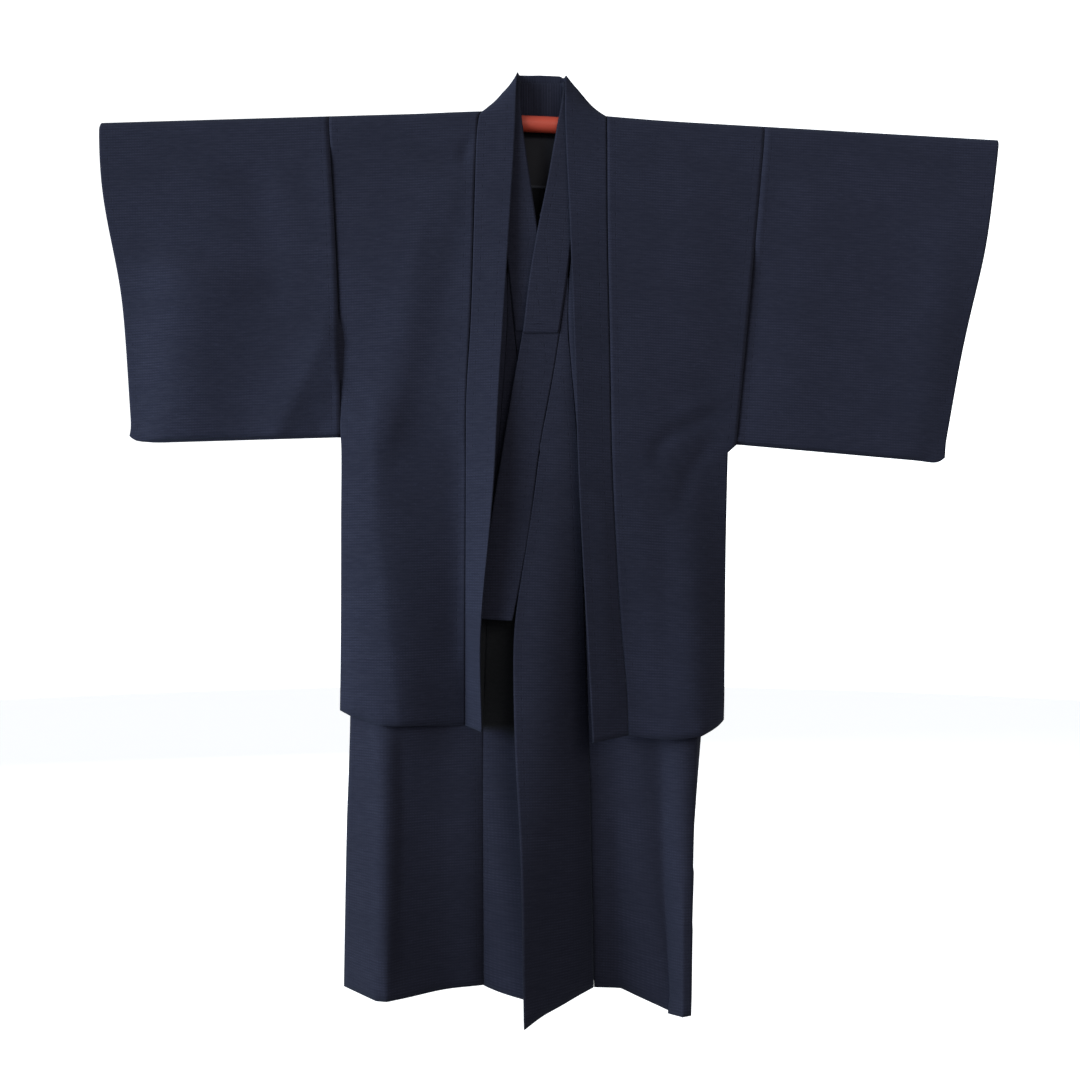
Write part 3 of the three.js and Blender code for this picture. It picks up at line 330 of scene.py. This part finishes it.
BODY_LEFT_FOLDS = [
    Fold("front", [(-128, -60), (-166, -210), (-214, -420), (-240, -520)], rise=5.0, left=34, right=20),
    Fold("front", [(-150, -120), (-176, -300), (-205, -470), (-226, -580)], rise=-2.6, left=14, right=26),
    Fold("front", [(-250, -380), (-249, -600), (-236, -700), (-219, -870), (-213, -940)], rise=14.0,
         left=38, right=38, sharp=0.35, ease=110, open_end=1.0),
    Fold("front", [(-122, -470), (-124, -640), (-132, -860)], rise=-3.0, left=18, right=8),
    Fold("front", [(-103, -10), (-110, -36), (-121, -66)], rise=-6.0, left=8, right=5, ease=12),
    Fold("front", [(-305, -392), (-276, -424), (-252, -470)], rise=-2.2, left=8, right=9, ease=30),
    Fold("back", [(-120, -120), (-150, -330), (-200, -620)], rise=3.4, left=26, right=26),
    Fold("back", [(-40, -200), (-46, -460), (-60, -760)], rise=-2.6, left=24, right=24),
    Fold("back", [(-300, -430), (-262, -520), (-236, -660)], rise=-2.8, left=12, right=14),
]
BODY_RIGHT_FOLDS = [
    Fold("front", [(303, -448), (272, -452), (240, -461), (206, -478), (182, -500), (174, -548)],
         rise=-3.4, left=9, right=9),
    Fold("front", [(298, -428), (262, -434), (222, -448), (192, -470)], rise=2.6, left=8, right=8),
    Fold("front", [(294, -480), (258, -500), (228, -540), (206, -615)], rise=-2.2, left=9, right=10),
    Fold("front", [(252, -60), (240, -220), (228, -400)], rise=1.8, left=30, right=34),
    Fold("front", [(232, -560), (238, -740), (240, -930)], rise=2.8, left=26, right=24),
    Fold("front", [(186, -560), (194, -740), (200, -935)], rise=-2.0, left=16, right=20),
    Fold("back", [(126, -120), (150, -330), (196, -620)], rise=3.0, left=26, right=26),
    Fold("back", [(44, -200), (42, -460), (52, -760)], rise=-2.6, left=24, right=24),
    Fold("back", [(292, -430), (258, -520), (228, -640)], rise=-2.8, left=12, right=14),
]
SKIRT_LEFT_FOLDS = [
    Fold("front", [(-240, -850), (-238, -1120), (-236, -1340)], rise=3.0, left=9, right=12),
    Fold("front", [(-214, -850), (-206, -1060), (-208, -1250), (-206, -1340)], rise=-4.6, left=9, right=30),
    Fold("front", [(-84, -870), (-84, -1120), (-84, -1345)], rise=9.0, left=40, right=24, open_end=1.0),
    Fold("front", [(-25, -870), (-25, -1000), (-25, -1250), (-25, -1345)], rise=(-10, -20, -42, -46),
         down=15.0, left=32, right=44, open_end=1.0),
    Fold("back", [(-170, -900), (-176, -1120), (-180, -1330)], rise=-3.5, left=18, right=18),
]
SKIRT_RIGHT_FOLDS = [
    Fold("front", [(183, -880), (181, -1000), (174, -1250), (171, -1345)], rise=(-14, -23, -42, -43),
         down=15.0, left=28, right=21, open_end=1.0),
    Fold("front", [(58, -960), (60, -1120), (62, -1330)], rise=2.2, left=14, right=9),
    Fold("front", [(20, -1060), (8, -1200), (0, -1340)], rise=-2.0, left=16, right=20),
    Fold("back", [(150, -900), (150, -1120), (146, -1330)], rise=-3.5, left=18, right=18),
]
COLLAR_FOLDS = [
    Fold("front", [(92, -560), (98, -720), (108, -930)], rise=1.6, left=14, right=12),
]
SLEEVE_FOLDS = {"left": SLEEVE_LEFT_FOLDS, "right": SLEEVE_RIGHT_FOLDS}
BODY_FOLDS = {"left": BODY_LEFT_FOLDS, "right": BODY_RIGHT_FOLDS}
SKIRT_FOLDS = {"left": SKIRT_LEFT_FOLDS, "right": SKIRT_RIGHT_FOLDS}


def fold_shift(folds, face, x, z):
    """How far all the folds on one face move the cloth at (x, z): out and down, in millimetres."""
    here = Vector((x, z))
    shifts = [fold.shift(here) for fold in folds if fold.face == face]
    return sum(out for out, _ in shifts), sum(down for _, down in shifts)


# ---------------------------------------------------------------- cloth pieces

def merged_copy(node_name):
    """A solid's mesh, with its loose triangles joined."""
    shell = bmesh.new()
    shell.from_mesh(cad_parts[node_name].data)
    bmesh.ops.remove_doubles(shell, verts=shell.verts, dist=1e-6)
    return shell


def islands(shell):
    """The separate sheets of faces in a bmesh."""
    left = set(shell.faces)
    found = []
    while left:
        waiting = [left.pop()]
        sheet = set(waiting)
        while waiting:
            for edge in waiting.pop().edges:
                for other in edge.link_faces:
                    if other in left:
                        left.discard(other)
                        sheet.add(other)
                        waiting.append(other)
        found.append(sheet)
    return found


def join_triangles(shell, angle):
    """Makes four-sided faces of pairs of triangles that meet at less than an angle, in degrees."""
    bmesh.ops.join_triangles(
        shell, faces=shell.faces, angle_face_threshold=math.radians(angle),
        angle_shape_threshold=math.radians(180), cmp_seam=False, cmp_sharp=False, cmp_uvs=False,
        cmp_vcols=False, cmp_materials=False,
    )


PRESSED_FOLD, BORDER_CORNER = math.radians(38), math.radians(24)
FOLD_CREASE, CORNER_CREASE = 0.45, 1.0


def keep_corners(shell):
    """Keeps pressed folds nearly sharp, and the corners of the cut sharp, when the sheet is smoothed."""
    fold = shell.edges.layers.float.new("crease_edge")
    corner = shell.verts.layers.float.new("crease_vert")
    for edge in shell.edges:
        if len(edge.link_faces) == 2 and edge.calc_face_angle() > PRESSED_FOLD:
            edge[fold] = FOLD_CREASE
    for vertex in shell.verts:
        rim = [e.other_vert(vertex).co - vertex.co for e in vertex.link_edges if e.is_boundary]
        if len(rim) == 2 and math.pi - rim[0].angle(rim[1]) > BORDER_CORNER:
            vertex[corner] = CORNER_CREASE


# Where the pointed top of each overlap ends, between the collar and the body, in millimetres, and how much
# of the way that is left each row of faces goes.
OVERLAP_TIPS = {"kimono_overlap_left": (-49.6, -17.6, -226.0), "kimono_overlap_right": (43.3, -26.0, -236.0)}
TIP_ROWS = (0.3, 0.45, 0.85)
SLANT = Vector((1.0, 0.37, 5.3))


def draw_tip(shell, tip):
    """Carries an overlap's top edge up to its point."""
    top = max(v.co.z for v in shell.verts)
    row = [e for e in shell.edges if e.is_boundary and all(v.co.z > top - 2 * MM for v in e.verts)]
    for share in TIP_ROWS:
        made = bmesh.ops.extrude_edge_only(shell, edges=row)["geom"]
        ends = {v for v in made if isinstance(v, bmesh.types.BMVert)}
        edges = [e for e in made if isinstance(e, bmesh.types.BMEdge)]
        row = [e for e in edges if e.is_boundary and ends.issuperset(e.verts)]
        for vertex in ends:
            vertex.co += (tip - vertex.co) * share
    # The new faces come in another order each time, so all are put in order along one slanting direction.
    shell.edges.sort(key=lambda edge: (edge.verts[0].co + edge.verts[1].co).dot(SLANT))
    shell.faces.sort(key=lambda face: face.calc_center_median().dot(SLANT))


WALL_TOLERANCE = 2e-5


def middle_sheet(node_name, wall):
    """The middle surface of a cloth's wall, as four-sided faces that point away from the set's middle."""
    shell = merged_copy(node_name)
    across_wall = [e for e in shell.edges if abs(e.calc_length() - wall) < WALL_TOLERANCE]
    rims = {face for edge in across_wall for face in edge.link_faces}
    bmesh.ops.delete(shell, geom=list(rims), context="FACES_ONLY")
    inner, outer = sorted(islands(shell), key=len)[-2:]
    centre = sum((v.co for v in shell.verts), Vector()) / len(shell.verts)
    centre.y = 0.0

    def outwardness(sheet):
        return sum(f.calc_area() * f.normal.dot(f.calc_center_median() - centre) for f in sheet)

    if outwardness(inner) > outwardness(outer):
        inner, outer = outer, inner
    partners = list({v for f in inner for v in f.verts})
    tree = kdtree.KDTree(len(partners))
    for n, vertex in enumerate(partners):
        tree.insert(vertex.co, n)
    tree.balance()
    moved = {v: (v.co + tree.find(v.co)[0]) / 2 for f in outer for v in f.verts}
    bmesh.ops.delete(shell, geom=list(inner), context="FACES")
    for vertex, place in moved.items():
        vertex.co = place
    loose = [v for v in shell.verts if not v.link_faces]
    bmesh.ops.delete(shell, geom=loose, context="VERTS")
    join_triangles(shell, 80)
    if node_name in OVERLAP_TIPS:
        draw_tip(shell, Vector(OVERLAP_TIPS[node_name]) * MM)
    keep_corners(shell)
    return shell


def put_in_scene(name, shell):
    """Makes a visible piece of a bmesh, which it uses up."""
    mesh = bpy.data.meshes.new(name)
    shell.to_mesh(mesh)
    shell.free()
    piece = bpy.data.objects.new(name, mesh)
    bpy.context.scene.collection.objects.link(piece)
    return piece


def rounded(piece, levels):
    """Applies a subdivision surface, so that the folds and hems run in smooth curves."""
    smooth = piece.modifiers.new("smooth", "SUBSURF")
    smooth.levels = smooth.render_levels = levels
    smooth.boundary_smooth = "PRESERVE_CORNERS"
    smooth.use_limit_surface = False
    ready = piece.evaluated_get(bpy.context.evaluated_depsgraph_get())
    mesh = bpy.data.meshes.new_from_object(ready)
    piece.modifiers.clear()
    piece.data = mesh


# The rod's axis, in millimetres: how steeply it falls away on both sides of the middle and from where on,
# how steeply it leans to the right, and how far and over what distance it steps down at the middle.
BOW, BOW_FROM = 0.044, 60.0
LEAN = 0.014
STEP, STEP_OVER = 3.0, 90.0


def rod_height(x):
    """Height of the rod's axis, in millimetres: a slight bow that leans to the right."""
    bow = BOW * (math.hypot(x, BOW_FROM) - BOW_FROM)
    return -LEAN * x - bow - STEP * x / math.hypot(x, STEP_OVER)


def border_runs(shell):
    """How far along its border each border vertex lies."""
    runs = {}
    for start in [v for v in shell.verts if v.is_boundary]:
        vertex, run = start, 0.0
        while vertex is not None and vertex not in runs:
            runs[vertex] = run
            following = None
            for edge in vertex.link_edges:
                other = edge.other_vert(vertex)
                if edge.is_boundary and other not in runs:
                    following = other
                    run += edge.calc_length()
                    break
            vertex = following
    return runs


# How far a border reaches out over its seam, how near the middle of the back it has to lie to count as the
# seam there, and how far it goes past the middle.
SEAM_REACH, OVERLAP_REACH = 0.14 * MM, 0.4 * MM
MIDDLE, PAST_MIDDLE = 1.0 * MM, 0.12 * MM


def close_seams(shell, reach):
    """Lets the border reach towards the next piece, and meets the other half at the middle of the back."""
    steps = []
    for vertex in shell.verts:
        if not vertex.is_boundary:
            continue
        inward = Vector()
        for edge in vertex.link_edges:
            if not edge.is_boundary:
                inward += (edge.other_vert(vertex).co - vertex.co).normalized()
        steps.append((vertex, -inward.normalized() * reach))
    for vertex, step in steps:
        vertex.co += step
        if abs(vertex.co.x) < MIDDLE:
            vertex.co.x = -math.copysign(PAST_MIDDLE, vertex.co.x)


# How far the haori's collar stands higher at the neck, in millimetres, by its place across: all of it, and
# its back. It starts at one height and is complete over a distance above it.
NECK_STAND = [(-94, 0.0), (-78, 4.5), (-58, 6.5), (-38, 3.5), (40, 3.5), (58, 5.5), (76, 4.5), (94, 0.0)]
BACK_STAND = [(-37, 3.5), (-31, 7.5), (0, 8.4), (31, 7.5), (39, 3.5)]
STAND_FROM, STAND_OVER = 4.0, 42.0


def from_table(table, at):
    """The value of a table of (place, value) rows at a place, in straight lines between the rows."""
    if at <= table[0][0]:
        return table[0][1]
    for (a, low), (b, high) in zip(table, table[1:]):
        if at <= b:
            return low + (high - low) * (at - a) / (b - a)
    return table[-1][1]


def share_of_way(at, start, length):
    """How much of the way from start over a length a place has come, from 0 to 1."""
    return max(0.0, min(1.0, (at - start) / length))


def stand_collar_up(shell):
    """Draws the collar up round the neck."""
    for vertex in shell.verts:
        share = share_of_way(vertex.co.z / MM, STAND_FROM, STAND_OVER)
        stand = from_table(NECK_STAND, vertex.co.x / MM)
        if vertex.co.y > 0:
            stand = max(stand, from_table(BACK_STAND, vertex.co.x / MM))
        vertex.co.z += stand * eased(share) * MM


# The lower outer corners of the sleeves, in millimetres: each one's place (x, z), how far it reaches out
# that way, and over what distance.
SLEEVE_CORNERS = [((-624, -490), (-6.0, -2.0), 15.0), ((614, -517), (3.5, -6.0), 17.0)]


def square_corners(shell):
    """Draws the cloth out into the corners of the sleeves."""
    for place, step, reach in SLEEVE_CORNERS:
        for vertex in shell.verts:
            away = math.hypot(vertex.co.x / MM - place[0], vertex.co.z / MM - place[1]) / reach
            weight = math.exp(-away * away) * MM
            vertex.co.x += step[0] * weight
            vertex.co.z += step[1] * weight


# Painted shadow on the inner front, below the collar's end, where the haori's left front shades it, in
# millimetres: its sides, its lower edge at the left side and how steeply that falls, the height that all of
# it lies below, and how softly it ends.
SHADOW_LEFT, SHADOW_RIGHT, SHADOW_LOW, SHADOW_SLOPE = -106.0, -26.0, -932.0, 0.2
SHADOW_BELOW, SHADOW_SOFT = -700.0, 5.0
INNER_FRONT = ("kimono_body_left", "kimono_overlap_left")


def painted_shadow(x, z):
    """How much painted shadow the inner front has at (x, z), from 0 to 1."""
    if z >= SHADOW_BELOW:
        return 0.0
    low = SHADOW_LOW - SHADOW_SLOPE * (x - SHADOW_LEFT)
    return share_of_way(min(x - SHADOW_LEFT, SHADOW_RIGHT - x, z - low), 0.0, SHADOW_SOFT)


# The cloth stays as it is near the rod: how far below the axis it starts to move, and over what distance.
HELD_TO, FREE_OVER = 15.0, 50.0
# The ripple dies away over this distance from an edge, so that it leaves the seams closed. Its lengths
# across and down are in millimetres, and the back takes it from another place than the front.
RIPPLE_EDGE = 24.0 * MM
RIPPLE_ACROSS, RIPPLE_DOWN, RIPPLE_BACK = 70.0, 120.0, 9.0
# Half the way round the neck, in millimetres.
NECK = 90.0


def lay_cloth(piece, folds, ripple, shift, *, round_neck, stands, takes_shadow):
    """Moves the cloth out and in by its folds, and stores where its weave and its edges lie."""
    shell = bmesh.new()
    shell.from_mesh(piece.data)
    shell.normal_update()
    weave = shell.verts.layers.float_vector.new("weave")
    from_edge = shell.verts.layers.float.new("from_edge")
    along_edge = shell.verts.layers.float.new("along_edge")
    shadow_layer = shell.verts.layers.float.new("painted_shadow")
    borders = [v for v in shell.verts if v.is_boundary]
    runs = border_runs(shell)
    tree = kdtree.KDTree(len(borders))
    for n, vertex in enumerate(borders):
        tree.insert(vertex.co, n)
    tree.balance()
    moved = []
    for vertex in shell.verts:
        x, y, z = vertex.co / MM
        face, source = ("front", shift) if vertex.normal.y < 0 else ("back", shift + RIPPLE_BACK)
        free = share_of_way(rod_height(x) - z, HELD_TO, FREE_OVER)
        _, nearest, edge = tree.find(vertex.co)
        lift, down = fold_shift(folds, face, x, z)
        wave = noise.noise(Vector((x / RIPPLE_ACROSS, z / RIPPLE_DOWN, source)))
        lift += ripple * min(1.0, edge / RIPPLE_EDGE) * wave
        out = Vector((vertex.normal.x, vertex.normal.y, 0.0))
        moved.append((vertex, (out * lift - Vector((0.0, 0.0, down))) * free * MM))
        along = NECK - abs(x) if round_neck and y > 0 else z - rod_height(x)
        vertex[weave] = (x * MM + shift, along * MM + shift * SHIFT_DOWN, shift)
        vertex[from_edge] = edge
        vertex[along_edge] = runs[borders[nearest]]
        # Painted shadow, on the outer face of the inner front only.
        vertex[shadow_layer] = painted_shadow(x, z) if takes_shadow and face == "front" else 0.0
    for vertex, step in moved:
        vertex.co += step
    close_seams(shell, OVERLAP_REACH if "overlap" in piece.name else SEAM_REACH)
    if stands:
        stand_collar_up(shell)
    square_corners(shell)
    for face in shell.faces:
        face.smooth = True
    shell.to_mesh(piece.data)
    shell.free()


def push_out(piece, lift):
    """Moves a piece out along its normals, in metres."""
    shell = bmesh.new()
    shell.from_mesh(piece.data)
    for vertex in shell.verts:
        vertex.co += vertex.normal * lift
    shell.to_mesh(piece.data)
    shell.free()


# The walls of the cloth, of the over-collar and of the lining, and how far the over-collar stands off.
CLOTH, OVER_COLLAR, LINING = 1.5 * MM, 1.2 * MM, 1.0 * MM
OVER_COLLAR_LIFT = 0.5 * MM


def cloth_piece(node_name, name, finish, *, wall=CLOTH, reverse=None, levels=3, folds=(), ripple=0.7, shift,
                lift=0.0, round_neck=False, stands=False):
    """One cut-and-sewn piece: its solid's sheet, smoothed, folded and given its thickness."""
    piece = put_in_scene(name, middle_sheet(node_name, wall))
    rounded(piece, levels)
    # Only the inner front takes the painted shadow.
    takes_shadow = node_name in INNER_FRONT
    lay_cloth(piece, folds, ripple, shift, round_neck=round_neck, stands=stands, takes_shadow=takes_shadow)
    if lift:
        push_out(piece, lift)
    piece.data.materials.append(finish)
    piece.data.materials.append(reverse or finish)
    skin = piece.modifiers.new("cloth", "SOLIDIFY")
    skin.thickness = wall
    skin.offset = 0.0
    skin.use_rim = True
    skin.material_offset = 1
    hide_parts(node_name)
    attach(piece, "root")


def make_set():
    for n, word in enumerate(("left", "right")):
        cloth_piece(f"haori_body_{word}", f"haori_body_cloth_{word}", HAORI_CLOTH,
                    folds=BODY_FOLDS[word] + COLLAR_FOLDS, shift=1.3 + n)
        cloth_piece(f"haori_sleeve_{word}", f"haori_sleeve_cloth_{word}", HAORI_CLOTH,
                    folds=SLEEVE_FOLDS[word], ripple=0.5, shift=3.7 + n)
        cloth_piece(f"haori_gusset_{word}", f"haori_gusset_cloth_{word}", HAORI_CLOTH,
                    levels=2, ripple=0.0, shift=5.9 + n)
        cloth_piece(f"kimono_body_{word}", f"kimono_body_cloth_{word}", KIMONO_CLOTH,
                    reverse=DARK_INNER_CLOTH, folds=BODY_FOLDS[word] + SKIRT_FOLDS[word], shift=7.1 + n)
        cloth_piece(f"kimono_sleeve_{word}", f"kimono_sleeve_cloth_{word}", KIMONO_CLOTH,
                    reverse=DARK_INNER_CLOTH, levels=2, folds=SLEEVE_FOLDS[word], ripple=0.2, shift=9.4 + n)
    for word, shift in (("left", 11.2), ("right", 12.6)):
        cloth_piece(f"kimono_overlap_{word}", f"kimono_overlap_cloth_{word}", KIMONO_CLOTH,
                    reverse=DARK_INNER_CLOTH, folds=SKIRT_FOLDS[word], shift=shift)
    cloth_piece("haori_collar", "haori_collar_cloth", HAORI_CLOTH, folds=COLLAR_FOLDS, ripple=0.5,
                shift=13.9, round_neck=True, stands=True)
    cloth_piece("kimono_collar", "kimono_collar_cloth", KIMONO_CLOTH, ripple=0.0, shift=15.3,
                round_neck=True)
    cloth_piece("kimono_over_collar", "kimono_over_collar_cloth", KIMONO_CLOTH, wall=OVER_COLLAR, ripple=0.0,
                shift=16.8, lift=OVER_COLLAR_LIFT, round_neck=True)
    cloth_piece("kimono_shoulder_lining", "shoulder_lining_cloth", LINING_CLOTH, wall=LINING, ripple=0.0,
                shift=LINING_SHIFT)


ROD_ROUND = 1.2 * MM


def lacquered_rod():
    """The rod, with a small round on both ends."""
    shell = merged_copy("hanger_rod")
    join_triangles(shell, 5)
    rims = [e for e in shell.edges if len(e.link_faces) == 2 and e.calc_face_angle() > math.radians(60)]
    bmesh.ops.bevel(
        shell, geom=rims, offset=ROD_ROUND, offset_type="OFFSET", segments=3, profile=0.5,
        affect="EDGES", material=-1, clamp_overlap=True,
    )
    for face in shell.faces:
        face.smooth = True
    rod = put_in_scene("lacquered_rod", shell)
    rod.data.materials.append(ROD_LACQUER)
    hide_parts("hanger_rod")
    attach(rod, "root")


# ---------------------------------------------------------------- room, light and camera

FLOOR_LEVEL, FLOOR_RADIUS, BACKDROP_RADIUS = -1.62, 7.0, 9.0


def room():
    """A pale floor and an even backdrop, which light nothing."""
    shell = bmesh.new()
    bmesh.ops.create_circle(shell, cap_ends=True, radius=FLOOR_RADIUS, segments=64)
    bmesh.ops.translate(shell, verts=shell.verts, vec=(0.0, 0.0, FLOOR_LEVEL))
    floor = put_in_scene("floor", shell)
    floor.data.materials.append(pale_paint("floor_paint", 0.82, glow=0.76))
    floor.visible_diffuse = floor.visible_glossy = False
    shell = bmesh.new()
    bmesh.ops.create_uvsphere(shell, u_segments=48, v_segments=24, radius=BACKDROP_RADIUS)
    bmesh.ops.reverse_faces(shell, faces=shell.faces)
    backdrop = put_in_scene("backdrop", shell)
    backdrop.data.materials.append(pale_paint("backdrop_paint", 0.9, glow=1.0))
    backdrop.visible_diffuse = backdrop.visible_glossy = False
    backdrop.visible_transmission = backdrop.visible_shadow = False


def add_light(name, kind, power, colour):
    lamp = bpy.data.lights.new(name, kind)
    lamp.energy = power
    lamp.color = colour
    light = bpy.data.objects.new(name, lamp)
    bpy.context.scene.collection.objects.link(light)
    return light


def window_light(name, place, target, size, power, colour):
    """Light from a square window at a place, turned to a target."""
    light = add_light(name, "AREA", power, colour)
    light.data.shape = "SQUARE"
    light.data.size = size
    light.location = place
    light.rotation_euler = (Vector(target) - Vector(place)).to_track_quat("-Z", "Y").to_euler()


def daylight(azimuth, elevation, spread, strength, colour):
    """Even light from a large far window. Azimuth 0 is the front, and it is negative to the left."""
    light = add_light("daylight", "SUN", strength, colour)
    light.data.angle = math.radians(spread)
    turn, rise = math.radians(azimuth), math.radians(elevation)
    towards = Vector((math.sin(turn) * math.cos(rise), -math.cos(turn) * math.cos(rise), math.sin(rise)))
    light.rotation_euler = towards.to_track_quat("Z", "Y").to_euler()


# The camera's place, and half the width that it sees at the distance of the rod.
CAMERA_DISTANCE, CAMERA_HEIGHT, HALF_VIEW = 2.1, -0.6443, 0.837


def light_and_camera():
    world = bpy.data.worlds.new("soft_room")
    bpy.context.scene.world = world
    world.use_nodes = True
    sky = world.node_tree.nodes["Background"]
    sky.inputs["Color"].default_value = (0.95, 0.96, 1.0, 1.0)
    sky.inputs["Strength"].default_value = 0.25
    daylight(azimuth=-63.0, elevation=12.0, spread=40.0, strength=3.4, colour=(0.81, 0.91, 1.0))
    window_light("window_low", (-1.08, -0.46, -0.74), (-0.56, 0.0, -0.5), 0.5, 3.6, (0.7, 0.84, 1.0))
    window_light("behind", (-0.8, 3.6, 0.4), (0.0, 0.0, -0.6), 2.4, 80.0, (0.94, 0.97, 1.0))
    window_light("room_fill", (1.3, -2.9, 0.6), (0.0, 0.0, -0.4), 1.8, 26.0, (1.0, 0.94, 0.86))

    lens = bpy.data.cameras.new("camera")
    lens.sensor_width = 36.0
    lens.lens = lens.sensor_width / 2 / (HALF_VIEW / CAMERA_DISTANCE)
    camera = bpy.data.objects.new("camera", lens)
    bpy.context.scene.collection.objects.link(camera)
    camera.location = (0.0, -CAMERA_DISTANCE, CAMERA_HEIGHT)
    camera.rotation_euler = (math.radians(90.0), 0.0, 0.0)
    bpy.context.scene.camera = camera
    bpy.context.scene.view_settings.view_transform = "Standard"


lacquered_rod()
make_set()
room()
light_and_camera()
